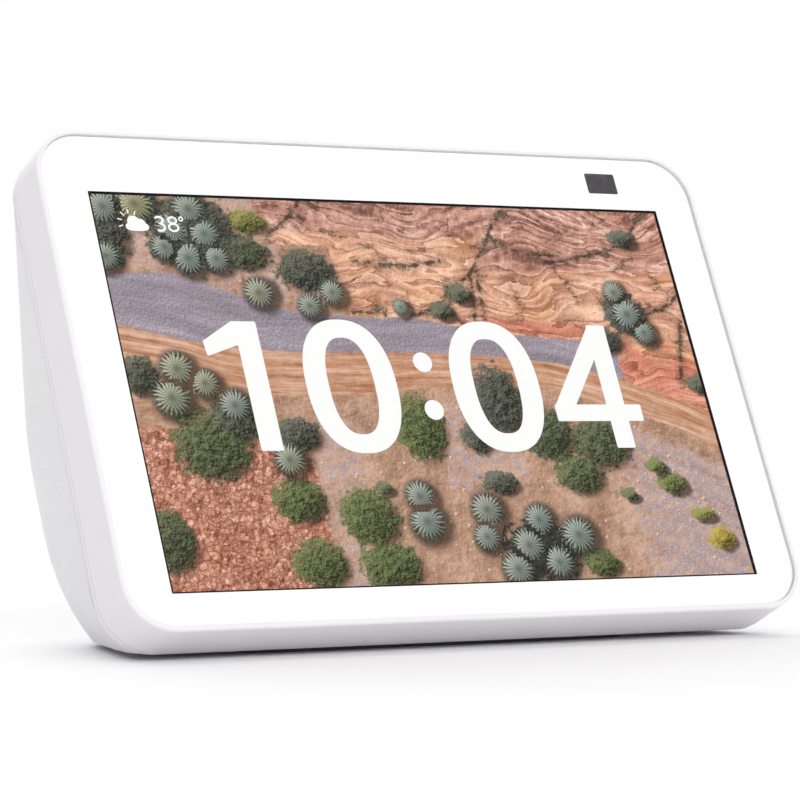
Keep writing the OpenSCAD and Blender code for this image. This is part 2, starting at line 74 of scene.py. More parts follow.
# The screen's own axes: UP runs along the leaning frame and BACK runs away from the viewer
UP = -joint_axis("mic_camera_press")
BACK = Vector((0, UP.z, -UP.y))
GLASS_FACE = reach("cover_glass", BACK)[0]
FRAME_REACH = reach("front_frame", UP)
FRAME_MIDDLE = sum(FRAME_REACH) / 2
FRAME_HALF_H = (FRAME_REACH[1] - FRAME_REACH[0]) / 2
FRAME_HALF_W = reach("front_frame", ACROSS)[1]
FRAME_RADIUS = 13.3
FRAME_DEPTH = 14.2
LIP = 1.3
WALL = 2.2
WINDOW_DROP = 3.5
WINDOW_HALF_W = 86.7
WINDOW_HALF_H = 54.4
CAMERA_X = 70.7
CAMERA_UP = 58.8
BUTTON_DEPTH = 7.5
DOME_FRONT = 16.0
DOME_DEPTH = 69.84
DOME_DROP = 33
PORT_HEIGHT = 22
PORT_FLOOR = 40
BUTTON_GAP = 24
SHUTTER_X = 80.0
PICTURE_HALF_W = 86.0
PICTURE_HALF_H = 53.8


def on_panel(x, depth, v):
    """World place of a point given across the screen, behind its glass face and up along the frame."""
    return (ACROSS * x + BACK * (GLASS_FACE + depth) + UP * (FRAME_MIDDLE + v)) * MM


def on_table(x, y, z):
    """World place of a point given in millimetres along the world's axes."""
    return Vector((x, y, z)) * MM


class DisplaySizes(bpy.types.PropertyGroup):
    """Sizes that only touch the looks, in metres."""

    lens: bpy.props.FloatProperty(
        name="Lens", description="Focal length of the camera in millimetres", default=149.85)
    camera_distance: bpy.props.FloatProperty(
        name="Camera distance", description="From the middle of the screen's window",
        default=0.8556, unit="LENGTH", subtype="DISTANCE")
    camera_azimuth: bpy.props.FloatProperty(
        name="Camera azimuth", description="Turn of the camera round the display",
        default=math.radians(-31.487), unit="ROTATION", subtype="ANGLE")
    knit_pitch: bpy.props.FloatProperty(
        name="Knit pitch", description="Distance from pore to pore of the fabric",
        default=0.001, unit="LENGTH", subtype="DISTANCE", precision=5)
    lip_round: bpy.props.FloatProperty(
        name="Lip rounding", description="Radius of the frame's front edge",
        default=0.0009, unit="LENGTH", subtype="DISTANCE", precision=5)


class DisplayColours(bpy.types.PropertyGroup):
    """Main colours of the display's outside."""

    frame_white: bpy.props.FloatVectorProperty(
        name="Frame", description="White of the moulded frame", size=3, subtype="COLOR",
        default=(0.795, 0.78, 0.795), min=0, max=1)
    print_white: bpy.props.FloatVectorProperty(
        name="Glass print", description="White ink behind the glass", size=3, subtype="COLOR",
        default=(0.985, 0.965, 0.985), min=0, max=1)
    fabric_grey: bpy.props.FloatVectorProperty(
        name="Fabric", description="Yarn of the rear cover", size=3, subtype="COLOR",
        default=(0.83, 0.82, 0.83), min=0, max=1)
    floor_white: bpy.props.FloatVectorProperty(
        name="Floor", description="Floor that the display stands on", size=3, subtype="COLOR",
        default=(0.91, 0.91, 0.915), min=0, max=1)


def settings():
    """The sizes and colours that the user may change."""
    return bpy.context.scene.display_sizes, bpy.context.scene.display_colours


# Shader building


def ink(red, green, blue):
    """Scene colour of an ink named by its screen values from 0 to 255."""
    def linear(c):
        c = c / 255
        return c / 12.92 if c <= 0.04045 else ((c + 0.055) / 1.055) ** 2.4
    return linear(red), linear(green), linear(blue), 1.0


def full(colour):
    """A colour with its alpha."""
    return (*colour[:3], 1.0)


class Wire:
    """An output in a material. Arithmetic on it adds Math nodes."""

    def __init__(self, paint, socket):
        self.paint = paint
        self.socket = socket

    def math(self, operation, *values):
        """A Math node that starts with this value."""
        return self.paint.add("ShaderNodeMath", {"operation": operation}, dict(enumerate((self, *values))))

    def __add__(self, other):
        return self.math("ADD", other)

    __radd__ = __add__

    def __mul__(self, other):
        return self.math("MULTIPLY", other)

    __rmul__ = __mul__

    def __sub__(self, other):
        return self.math("SUBTRACT", other)

    def __rsub__(self, other):
        return (self * -1) + other

    def __truediv__(self, other):
        return self.math("DIVIDE", other)

    def __pow__(self, other):
        return self.math("POWER", other)

    def __abs__(self):
        return self.math("ABSOLUTE")

    def least(self, other):
        """The smaller of two values."""
        return self.math("MINIMUM", other)

    def most(self, other):
        """The larger of two values."""
        return self.math("MAXIMUM", other)

    def part(self):
        """What is left after whole steps are taken away."""
        return self.math("FRACT")

    def rise(self, low, high):
        """Goes smoothly from 0 at low to 1 at high."""
        return self.paint.add(
            "ShaderNodeMapRange", {"interpolation_type": "SMOOTHSTEP"},
            {"Value": self, "From Min": low, "From Max": high, "To Min": 0.0, "To Max": 1.0})


class Paint:
    """One material and the nodes in it."""

    def __init__(self, name):
        self.material = bpy.data.materials.new(name)
        self.material.use_nodes = True
        self.tree = self.material.node_tree
        self.tree.nodes.clear()

    def add(self, kind, options=None, inputs=None, output=0):
        """Adds a node: its settings first, then the values or links of its sockets."""
        node = self.tree.nodes.new(kind)
        for key, value in (options or {}).items():
            if key == "stops":
                self.set_stops(node.color_ramp, value)
            else:
                setattr(node, key, value)
        for key, value in (inputs or {}).items():
            if isinstance(value, Wire):
                self.tree.links.new(value.socket, node.inputs[key])
            else:
                node.inputs[key].default_value = value
        return Wire(self, node.outputs[output]) if node.outputs else None

    @staticmethod
    def set_stops(ramp, stops):
        """Gives a colour ramp its stops."""
        while len(ramp.elements) < len(stops):
            ramp.elements.new(1.0)
        for element, (place, colour) in zip(ramp.elements, stops):
            element.position = place
            element.color = colour

    def place(self):
        """Place on the piece in millimetres."""
        where = self.add("ShaderNodeTexCoord", output=3)
        return self.add("ShaderNodeVectorMath", {"operation": "SCALE"}, {0: where, "Scale": 1 / MM})

    def stored(self, name):
        """A vector kept on the mesh."""
        return self.add("ShaderNodeAttribute", {"attribute_name": name}, output=1)

    def split(self, vector):
        """The three numbers of a vector."""
        node = self.add("ShaderNodeSeparateXYZ", inputs={0: vector}).socket.node
        return [Wire(self, node.outputs[i]) for i in range(3)]

    def vector(self, x, y, z=0.0):
        """A vector from three numbers."""
        return self.add("ShaderNodeCombineXYZ", inputs={0: x, 1: y, 2: z})

    def noise(self, vector, scale, detail=2.0, rough=0.5, warp=0.0):
        """Cloudy noise from 0 to 1."""
        return self.add("ShaderNodeTexNoise", inputs={
            "Vector": vector, "Scale": scale, "Detail": detail, "Roughness": rough, "Distortion": warp})

    def cells(self, vector, scale, output=0, feature="F1"):
        """Voronoi cells: distance to the middle, or with output 1 a colour of each cell."""
        return self.add("ShaderNodeTexVoronoi", {"feature": feature},
                        {"Vector": vector, "Scale": scale}, output)

    def ramp(self, value, *stops):
        """Colours along a value."""
        return self.add("ShaderNodeValToRGB", {"stops": stops}, {0: value})

    def mix(self, amount, low, high, kind="MIX"):
        """One colour over another."""
        return self.add("ShaderNodeMix", {"data_type": "RGBA", "blend_type": kind},
                        {0: amount, 6: low, 7: high}, 2)

    def bump(self, height, strength, distance):
        """Surface direction from a height in millimetres."""
        return self.add("ShaderNodeBump", inputs={
            "Strength": strength, "Distance": distance * MM, "Height": height})

    def finish(self, shader, thin=False):
        """Ends the material with its shader."""
        self.add("ShaderNodeOutputMaterial", inputs={"Surface": shader})
        if thin:
            self.material.surface_render_method = "BLENDED"
        return self.material


def moulded(name, colour, rough=0.4, metal=0.0, grain=0.35, relief=0.02, coat=0.0, mottle=0.03,
            stretch=(1, 1, 1)):
    """Plastic, metal or rubber with slow mottling, fine grain and a little uneven gloss."""
    paint = Paint(name)
    where = paint.place()
    drawn = paint.add("ShaderNodeVectorMath", {"operation": "MULTIPLY"}, {0: where, 1: stretch})
    slow = paint.noise(where, 0.045, 3.0)
    fine = paint.noise(drawn, 1 / grain, 3.0, 0.6)
    base = full(colour)
    dark = tuple(c * (1 - 2 * mottle) for c in base[:3]) + (1.0,)
    tone = (slow * 0.6 + fine * 0.4).rise(0.3, 0.7)
    inputs = {
        "Base Color": paint.mix(tone, dark, base),
        "Roughness": rough - 0.05 + slow * 0.06 + fine * 0.04,
        "Metallic": metal,
        "Normal": paint.bump(fine, 0.4, relief),
    }
    if coat:
        inputs["Coat Weight"] = coat
        inputs["Coat Roughness"] = 0.08
    return paint.finish(paint.add("ShaderNodeBsdfPrincipled", inputs=inputs))


def clear_sheet(name, tint, gloss_ior):
    """Clear glass or film: light passes straight through, with a weak mirror on top."""
    paint = Paint(name)
    where = paint.place()
    smear = paint.noise(where, 0.06, 3.0)
    mirror = paint.add("ShaderNodeFresnel", inputs={"IOR": gloss_ior})
    gloss = paint.add("ShaderNodeBsdfPrincipled", inputs={
        "Base Color": (0.02, 0.02, 0.02, 1.0), "Roughness": 0.03 + smear * 0.05, "Specular IOR Level": 1.0,
        "Metallic": 0.0, "IOR": 2.2})
    through = paint.add("ShaderNodeBsdfTransparent", inputs={"Color": full(tint)})
    amount = (mirror * (0.9 + smear * 0.1)).least(0.2)
    return paint.finish(paint.add("ShaderNodeMixShader", inputs={0: amount, 1: through, 2: gloss}), thin=True)


def board_mask(name, colour, line):
    """Circuit board lacquer with copper runs under it."""
    paint = Paint(name)
    x, y, z = paint.split(paint.place())
    run = abs((x * 0.55 + z * 0.02).part() - 0.5).rise(0.36, 0.42)
    cross = abs((z * 0.4 + y * 0.4).part() - 0.5).rise(0.4, 0.44)
    patch = paint.noise(paint.place(), 0.12, 1.0).rise(0.48, 0.52)
    trace = run * patch + cross * (1 - patch)
    return paint.finish(paint.add("ShaderNodeBsdfPrincipled", inputs={
        "Base Color": paint.mix(trace, full(colour), full(line)),
        "Roughness": 0.3 + 0.1 * trace, "Normal": paint.bump(trace, 0.5, 0.03)}))


def knit_fabric(colour, pitch):
    """Stretch knit with offset rows of pores painted darker as shade, a soft sheen and a heathered yarn."""
    paint = Paint("fabric_grey_knit")
    along, up, _ = paint.split(paint.stored("knit"))
    row = up / (pitch / MM * 0.72)
    whole = row.math("FLOOR")
    column = along / (pitch / MM) + whole * 0.5
    across = (column.part() - 0.5) * 1.25
    down = (row.part() - 0.5) * 0.95
    pore = 1 - (across * across + down * down).math("SQRT").rise(0.14, 0.36)
    fibre = paint.noise(paint.vector(along * 6.0, up * 1.4), 1.0, 3.0, 0.6)
    heather = paint.noise(paint.vector(along * 0.35, up * 1.1), 1.0, 2.0)
    slow = paint.noise(paint.place(), 0.03, 2.0)
    yarn = paint.mix((fibre * 0.5 + heather * 0.3 + slow * 0.2).rise(0.32, 0.68),
                     full([c * 0.9 for c in colour]), full(colour))
    # Painted shade: the pores' middles are darkened towards this colour, standing for shade inside the knit's
    # holes
    deep = full([c * 0.78 for c in colour])
    shader = paint.add("ShaderNodeBsdfPrincipled", inputs={
        "Base Color": paint.mix(pore * 0.55, yarn, deep),
        "Roughness": 0.82 - 0.1 * fibre,
        "Sheen Weight": 0.25, "Sheen Roughness": 0.4, "Sheen Tint": (1.0, 1.0, 1.0, 1.0),
        "Normal": paint.bump((1 - pore) + fibre * 0.25, 0.4, 0.2)})
    return paint.finish(shader)


def desert_picture():
    """The lit panel's picture: a dry slope from above, with rock, tracks, gravel, bushes and agaves."""
    paint = Paint("screen_picture")
    across, up, lane = paint.split(paint.stored("spot"))
    rock, gravel, track = paint.split(paint.stored("ground"))
    rubble, violet, crack = paint.split(paint.stored("stones"))
    bush, hue, shade = paint.split(paint.stored("plants"))
    leaf_x, leaf_y, leaf_tint = paint.split(paint.stored("leaf"))
    leaf_near, dusky, red = paint.split(paint.stored("tones"))
    flat = paint.vector(across, up)
    lit_side = paint.vector(across - 0.28, up + 0.28)
    fine = paint.noise(flat, 1.7, 5.0, 0.72)
    broad = paint.noise(flat, 0.11, 5.0, 0.6)
    middle = paint.noise(flat, 0.42, 4.0, 0.6)
    rough_edge = (fine - 0.5) * 0.5 + (middle - 0.5) * 0.9 + (broad - 0.5) * 0.7

    # Light and shade of bumpy ground: how much higher it is here than on its lit side
    bumps = paint.noise(flat, 0.5, 5.0, 0.68) - paint.noise(lit_side, 0.5, 5.0, 0.68)
    sand = paint.ramp((fine * 0.3 + broad * 0.45 + middle * 0.25 + bumps * 0.5).rise(0.3, 0.7),
                      (0.0, ink(138, 105, 87)), (0.5, ink(181, 146, 124)), (1.0, ink(212, 179, 157)))

    tumbled = paint.vector(across + (middle - 0.5) * 2.4 + (fine - 0.5) * 0.7, up + (broad - 0.5) * 7.0)
    chips_lit = paint.cells(lit_side, 0.7) - paint.cells(flat, 0.7)
    chip_tone = paint.split(paint.cells(tumbled, 0.6, 1))[0]
    chip_edge = paint.cells(tumbled, 0.6, feature="DISTANCE_TO_EDGE")
    rusty = paint.ramp((chip_tone * 0.34 + fine * 0.45 + broad * 0.2 + chips_lit * 0.4 + bumps * 1.4),
                       (0.14, ink(112, 66, 48)), (0.36, ink(176, 120, 98)), (0.58, ink(206, 152, 130)),
                       (0.88, ink(244, 202, 182)))
    rusty = paint.mix((1 - chip_edge.rise(0.0, 0.14)) * 0.6, rusty, ink(104, 60, 44))
    ground = paint.mix((rubble + rough_edge * 0.9).rise(0.35, 0.6), sand, rusty)

    pebbles_lit = paint.cells(lit_side, 1.5) - paint.cells(flat, 1.5)
    streaks = paint.noise(paint.vector(across * 0.03, lane * 0.3), 1.0, 4.0, 0.6)
    pebbles = paint.ramp((streaks * 0.5 + fine * 0.36 + middle * 0.14 + pebbles_lit * 0.14 + 0.01),
                         (0.28, ink(104, 92, 94)), (0.42, ink(139, 128, 136)), (0.56, ink(163, 153, 163)),
                         (0.74, ink(208, 197, 204)))
    patchy = (violet + rough_edge * 1.2).rise(0.2, 0.75)
    speckle = (fine * 0.62 + middle * 0.38 + (violet - 0.5) * 0.1).rise(0.47, 0.54)
    ground = paint.mix(patchy * 0.6, ground, ink(226, 188, 164))
    ground = paint.mix(patchy * speckle * 0.8, ground, pebbles)
    ground = paint.mix(patchy * (fine + bumps * 0.8).rise(0.6, 0.68) * 0.7, ground, ink(234, 224, 222))
    ground = paint.mix((gravel + rough_edge * 0.3).rise(0.35, 0.65), ground, pebbles)

    ruts = paint.noise(paint.vector(across * 0.03, lane * 0.6), 1.0, 5.0, 0.7)
    lanes = paint.ramp((ruts * 0.7 + fine * 0.15 + middle * 0.15).rise(0.3, 0.7),
                       (0.0, ink(140, 88, 58)), (0.3, ink(184, 134, 104)), (0.62, ink(203, 164, 140)),
                       (1.0, ink(230, 196, 176)))
    ground = paint.mix((track + rough_edge * 0.22).rise(0.35, 0.65), ground, lanes)

    swell = paint.noise(flat, 0.03, 2.0, 0.4)
    fold = up + across * 0.05 + (swell - 0.5) * 26.0 + (broad - 0.5) * 3.0
    layers = paint.noise(paint.vector(across * 0.02, fold * 0.1), 1.0, 3.0, 0.5)
    thin = paint.noise(paint.vector(across * 0.035, fold * 0.36), 1.0, 6.0, 0.62)
    ledge = (layers * 11.0 + thin * 0.6).part()
    tone = ledge * 0.16 + layers * 0.3 + thin * 0.34 + fine * 0.2 + bumps * 0.3 + (middle - 0.5) * 0.16
    strata = paint.ramp(tone.rise(0.3, 0.7),
                        (0.0, ink(140, 98, 82)), (0.28, ink(194, 147, 125)), (0.58, ink(221, 174, 148)),
                        (1.0, ink(247, 212, 188)))
    golden = paint.noise(paint.vector(across * 0.035 + 4.0, fold * 0.06), 1.0, 2.0, 0.5).rise(0.5, 0.64)
    gold_rock = paint.mix(tone.rise(0.3, 0.72), ink(176, 112, 66), ink(240, 190, 138))
    strata = paint.mix(golden * 0.5, strata, gold_rock)
    dark_rock = paint.ramp((tone + (middle - 0.5) * 0.3).rise(0.3, 0.74),
                           (0.0, ink(108, 75, 66)), (0.35, ink(180, 135, 121)), (0.7, ink(211, 168, 152)),
                           (1.0, ink(246, 218, 206)))
    strata = paint.mix((dusky + rough_edge * 0.8).rise(0.3, 0.8), strata, dark_rock)
    warm = (red + rough_edge * 0.6).rise(0.25, 0.9)
    red_rock = paint.mix(tone.rise(0.3, 0.7), ink(172, 82, 62), ink(222, 140, 116))
    strata = paint.mix(warm * 0.6, strata, red_rock)
    shelf = (1 - ledge.rise(0.0, 0.09)) * (middle * 0.6 + broad * 0.4).rise(0.46, 0.58)
    strata = paint.mix(shelf * 0.6, strata, ink(92, 60, 50))
    pale = ledge.rise(0.9, 0.99) * (broad * 0.5 + fine * 0.5).rise(0.5, 0.62)
    strata = paint.mix(pale * 0.6, strata, ink(244, 216, 202))
    bent = paint.vector(across + (middle - 0.5) * 9.0 + (fine - 0.5) * 1.5, up * 1.7 + (broad - 0.5) * 22.0)
    joint = paint.cells(bent, 0.05, feature="DISTANCE_TO_EDGE") + (fine - 0.5) * 0.04
    broken = (paint.noise(flat, 0.07, 2.0) * 0.8 + middle * 0.2).rise(0.48, 0.56)
    strata = paint.mix((1 - joint.rise(0.0, 0.02)) * broken * 0.75, strata, ink(78, 52, 44))
    strata = paint.mix((1 - joint.rise(0.02, 0.11)) * broken * 0.22, strata, ink(98, 64, 54))
    wander = crack + (middle - 0.5) * 3.0 + (fine - 0.5) * 1.4
    strata = paint.mix((1 - wander.rise(0.15, 0.75)) * 0.85, strata, ink(66, 46, 40))
    strata = paint.mix((1 - wander.rise(0.6, 2.6)) * 0.28, strata, ink(86, 60, 52))
    scrub = (1 - (crack + (fine - 0.5) * 4.0 + (middle - 0.5) * 7.0).rise(0.0, 1.5)) * broad.rise(0.5, 0.6)
    dry_scrub = paint.mix(fine.rise(0.35, 0.65), ink(58, 56, 42), ink(140, 132, 108))
    strata = paint.mix(scrub * 0.85, strata, dry_scrub)
    ground = paint.mix((rock + rough_edge * 0.5).rise(0.4, 0.55), ground, strata)

    scatter = paint.cells(flat, 0.33)
    scatter_lit = paint.cells(lit_side, 0.33) - scatter
    some = paint.split(paint.cells(flat, 0.33, 1))[2].rise(0.72, 0.78)
    some = some * (1 - rock) * (1 - gravel) * (1 - track)
    stone = (1 - (scatter + (fine - 0.5) * 0.3).rise(0.14, 0.2)) * some
    ground = paint.mix(stone, ground, paint.mix((scatter_lit * 3.0 + 0.5).rise(0.0, 1.0), ink(110, 84, 72),
                                                ink(226, 196, 180)))

    ground = paint.mix((shade + rough_edge * 0.7).rise(0.0, 0.6) * 0.78, ground, ink(54, 43, 34))

    clump = paint.cells(flat, 0.55)
    clump_lit = paint.cells(lit_side, 0.55) - clump
    sprig_lit = paint.cells(lit_side, 1.7) - paint.cells(flat, 1.7)
    leafy = (0.42 + clump_lit * 0.35 + sprig_lit * 0.3 + (fine - 0.5) * 1.7 + bumps * 2.0
             + (middle - 0.5) * 1.0 + (bush - shade) * 0.5).rise(0.0, 1.0)
    green = paint.mix(leafy, ink(28, 38, 16), ink(134, 144, 96))
    blue_green = paint.mix(leafy, ink(24, 29, 24), ink(120, 122, 108))
    yellow_green = paint.mix(leafy, ink(78, 70, 20), ink(196, 176, 90))
    foliage = paint.mix(hue.rise(0.1, 0.5), blue_green, green)
    foliage = paint.mix((0.02 - hue).rise(-0.02, 0.02) * 0.7, foliage, ink(40, 36, 32))
    foliage = paint.mix(hue.rise(0.75, 1.0), foliage, yellow_green)
    edge = (bush + (fine - 0.5) * 1.5 + (middle - 0.5) * 2.6 + 0.05).rise(0.0, 0.35)
    scene = paint.mix(edge * 0.96, ground, foliage)

    far = (leaf_x * leaf_x + leaf_y * leaf_y).math("SQRT")
    turn = leaf_y.math("ARCTAN2", leaf_x) + (middle - 0.5) * 0.5

    def spikes(count, start, length, width):
        """Pointed leaves round a rosette's middle, 1 on a leaf, and how far off a leaf's middle line."""
        beside = abs((turn * (count / math.tau) + (leaf_tint * 7.0 + start)).part() - 0.5)
        reach_out = length + (fine - 0.5) * 0.35
        return (width * (reach_out - far) - beside * far).rise(-0.02, 0.06) * leaf_near.rise(0.4, 0.6), beside

    under, under_rib = spikes(29, 0.3, 1.02, 0.44)
    over, rib = spikes(21, 0.0, 0.84, 0.6)
    light = (0.55 - leaf_x * 0.3 + leaf_y * 0.35 + (fine - 0.5) * 0.5).least(1.0)
    blade = paint.mix(leaf_tint, ink(92, 104, 98), ink(116, 112, 80))
    blade_tip = paint.mix(leaf_tint, ink(188, 196, 192), ink(212, 206, 172))
    lit_leaf = paint.mix((light * 0.8 + (0.5 - rib) * 0.9).rise(0.35, 1.25), blade, blade_tip)
    dark_leaf = paint.mix((light * 0.7 + (0.5 - under_rib) * 0.6).rise(0.2, 1.0),
                          ink(44, 52, 44), ink(134, 142, 134))
    core = 1 - far.rise(0.0, 0.3)
    hollow = 1 - (far + (middle - 0.5) * 0.8).rise(0.45, 1.0)
    scene = paint.mix(hollow * leaf_near * 0.8, scene, ink(46, 44, 34))
    scene = paint.mix(under, scene, dark_leaf)
    scene = paint.mix(over, scene, lit_leaf)
    scene = paint.mix(core * 0.55 * leaf_near, scene, ink(66, 76, 66))

    scene = paint.add("ShaderNodeGamma", inputs={"Color": scene, "Gamma": 1.12})
    inside = (abs(across + SLIP_ACROSS) - PICTURE_HALF_W).most(abs(up + SLIP_UP) - PICTURE_HALF_H)
    scene = paint.mix(inside.rise(-0.05, 0.1), scene, ink(14, 13, 14))
    shader = paint.add("ShaderNodeBsdfPrincipled", inputs={
        "Base Color": (0.004, 0.004, 0.004, 1.0), "Roughness": 0.35, "Specular IOR Level": 0.1,
        "Emission Color": scene, "Emission Strength": 1.17})
    return paint.finish(shader)


def lit_white():
    """White of the clock's figures, with the faint grid of a lit panel."""
    paint = Paint("screen_figures")
    x, _, z = paint.split(paint.place())
    grid = (x * 6.0).part().rise(0.0, 0.2) * (z * 6.0).part().rise(0.0, 0.2)
    glow = paint.mix(grid, (0.95, 0.95, 0.96, 1.0), (1.0, 1.0, 1.0, 1.0))
    return paint.finish(paint.add("ShaderNodeBsdfPrincipled", inputs={
        "Base Color": (0.02, 0.02, 0.02, 1.0), "Roughness": 0.4, "Specular IOR Level": 0.1,
        "Emission Color": glow, "Emission Strength": 1.0}))


def smoked_window():
    """Smoked ink in front of the camera: dark, slightly cloudy, and half seen through."""
    paint = Paint("window_smoke_ink")
    where = paint.place()
    cloud = paint.noise(where, 2.6, 4.0, 0.7)
    body = paint.add("ShaderNodeBsdfPrincipled", inputs={
        "Base Color": paint.mix(cloud.rise(0.3, 0.7), ink(84, 82, 86), ink(106, 103, 108)),
        "Roughness": 0.25 + cloud * 0.1, "Specular IOR Level": 0.2})
    through = paint.add("ShaderNodeBsdfTransparent", inputs={"Color": (0.68, 0.68, 0.7, 1.0)})
    return paint.finish(paint.add("ShaderNodeMixShader", inputs={0: 0.5 + cloud * 0.16, 1: through, 2: body}),
                        thin=True)


# One finish for each slot of the record; the visible ones are made when their piece is
PLAIN_FINISHES = {
    "tape": dict(colour=(0.05, 0.05, 0.052), rough=0.75, grain=0.5, relief=0.03),
    "film_white": dict(colour=(0.8, 0.82, 0.85), rough=0.3, grain=0.2),
    "light_guide": dict(colour=(0.75, 0.8, 0.82), rough=0.12, grain=0.6, coat=0.5),
    "led": dict(colour=(0.9, 0.75, 0.3), rough=0.3, grain=0.25, coat=0.3),
    "tray_steel": dict(colour=(0.6, 0.61, 0.62), rough=0.35, metal=0.9, grain=0.4, stretch=(0.05, 1, 1)),
    "bracket_steel": dict(colour=(0.5, 0.51, 0.52), rough=0.4, metal=0.9, grain=0.4, stretch=(0.05, 1, 1)),
    "camera_black": dict(colour=(0.015, 0.015, 0.017), rough=0.4, grain=0.2),
    "chip_black": dict(colour=(0.03, 0.03, 0.032), rough=0.5, grain=0.3, relief=0.015),
    "can_steel": dict(colour=(0.68, 0.68, 0.66), rough=0.3, metal=0.9, grain=0.5, mottle=0.06),
    "sink_aluminium": dict(colour=(0.7, 0.71, 0.72), rough=0.35, metal=0.9, grain=0.3, stretch=(1, 0.08, 1)),
    "switch_metal": dict(colour=(0.7, 0.7, 0.68), rough=0.3, metal=0.8, grain=0.3),
    "antenna_gold": dict(colour=(0.75, 0.55, 0.2), rough=0.25, metal=0.9, grain=0.4),
    "flex_amber": dict(colour=(0.5, 0.25, 0.06), rough=0.3, grain=0.8, coat=0.4, mottle=0.08),
    "wire_red": dict(colour=(0.45, 0.04, 0.03), rough=0.4, grain=0.5),
    "box_black": dict(colour=(0.03, 0.03, 0.032), rough=0.55, grain=0.5, relief=0.05),
    "basket_steel": dict(colour=(0.25, 0.25, 0.26), rough=0.4, metal=0.7, grain=0.5),
    "magnet": dict(colour=(0.12, 0.12, 0.125), rough=0.5, metal=0.5, grain=0.4, mottle=0.06),
    "surround_rubber": dict(colour=(0.03, 0.03, 0.03), rough=0.65, grain=0.6, relief=0.04),
    "cone_paper": dict(colour=(0.1, 0.1, 0.1), rough=0.8, grain=0.7, relief=0.08, mottle=0.1),
    "jack_black": dict(colour=(0.025, 0.025, 0.027), rough=0.4, grain=0.3),
    "pin_brass": dict(colour=(0.8, 0.65, 0.35), rough=0.2, metal=1.0, grain=0.3, stretch=(1, 0.1, 1)),
    "housing_grey": dict(colour=(0.6, 0.6, 0.61), rough=0.5, grain=0.5, relief=0.04),
    "foot_rubber": dict(colour=(0.05, 0.05, 0.052), rough=0.8, grain=0.4, relief=0.05, mottle=0.08),
    "screw_steel": dict(colour=(0.35, 0.35, 0.36), rough=0.3, metal=0.95, grain=0.3),
    "lens_glass": dict(colour=(0.02, 0.02, 0.05), rough=0.05, grain=0.6, relief=0.0, coat=1.0),
}
FINISHES = {}


def finish_for(slot):
    """The material of a slot, made once."""
    if slot not in FINISHES:
        _, colours = settings()
        makers = {
            "frame_white": lambda: moulded("frame_white_satin", colours.frame_white, 0.38, grain=0.3,
                                           relief=0.012, mottle=0.006),
            "button_white": lambda: moulded("button_white_satin", colours.frame_white, 0.42, grain=0.25,
                                            relief=0.015, mottle=0.01),
            "print_white": lambda: moulded("print_white_ink", colours.print_white, 0.45, grain=0.4,
                                           relief=0.0, mottle=0.004),
            "cover_glass": lambda: clear_sheet("cover_glass_clear", (1.0, 1.0, 1.0), 1.16),
            "touch_film": lambda: clear_sheet("touch_film_clear", (0.99, 0.99, 0.985), 1.01),
            "window_smoke": smoked_window,
            "screen": desert_picture,
            "board_green": lambda: board_mask("board_green_lacquer", (0.015, 0.1, 0.04), (0.05, 0.2, 0.08)),
            "fabric_grey": lambda: knit_fabric(colours.fabric_grey, settings()[0].knit_pitch),
        }
        if slot in makers:
            FINISHES[slot] = makers[slot]()
        else:
            FINISHES[slot] = moulded(slot + "_finish", **PLAIN_FINISHES[slot])
    return FINISHES[slot]


# Mesh building: a shape is a list of points and a list of faces


def outline(half_w, half_h, radius, steps=12, along=1):
    """Points of a rounded rectangle, anticlockwise."""
    points = []
    for quarter, (side, rise) in enumerate(((1, 1), (-1, 1), (-1, -1), (1, -1))):
        for i in range(steps + 1):
            angle = (quarter + i / steps) * math.pi / 2
            points.append((side * (half_w - radius) + radius * math.cos(angle),
                           rise * (half_h - radius) + radius * math.sin(angle)))
    if along == 1:
        return points
    fuller = []
    for i, here in enumerate(points):
        fuller.append(here)
        if i % (steps + 1) == steps:
            there = points[(i + 1) % len(points)]
            for k in range(1, along):
                t = k / along
                fuller.append((here[0] + (there[0] - here[0]) * t, here[1] + (there[1] - here[1]) * t))
    return fuller


def circle(radius, count=32, x=0.0, y=0.0):
    """Points of a circle."""
    return [(x + radius * math.cos(math.tau * i / count), y + radius * math.sin(math.tau * i / count))
            for i in range(count)]


def loft(rings, around=False, caps=True):
    """Skin over rings of equal counts; around joins the last ring to the first."""
    count = len(rings[0])
    points = [p for ring in rings for p in ring]
    faces = []
    pairs = [(i, i + 1) for i in range(len(rings) - 1)]
    if around:
        pairs.append((len(rings) - 1, 0))
    for low, high in pairs:
        for k in range(count):
            j = (k + 1) % count
            faces.append((low * count + k, low * count + j, high * count + j, high * count + k))
    if caps and not around:
        faces.append(tuple(range(count))[::-1])
        faces.append(tuple(range((len(rings) - 1) * count, len(rings) * count)))
    return points, faces


def joined(*shapes):
    """Several shapes as one."""
    points, faces = [], []
    for more_points, more_faces in shapes:
        start = len(points)
        points += more_points
        faces += [tuple(i + start for i in face) for face in more_faces]
    return points, faces


def on_depths(ring, *depths):
    """A flat outline given at several depths behind the glass."""
    return [[(x, depth, v) for x, v in ring] for depth in depths]


def framed(half_w, half_h, radius, profile, around=False, steps=16, x=0.0, v=0.0):
    """Rounded rectangle swept along a profile of (inset, depth)."""
    rings = []
    for inset, depth in profile:
        ring = outline(half_w - inset, half_h - inset, max(radius - inset, 0.05), steps)
        rings.append([(x + px, depth, v + pv) for px, pv in ring])
    return loft(rings, around)


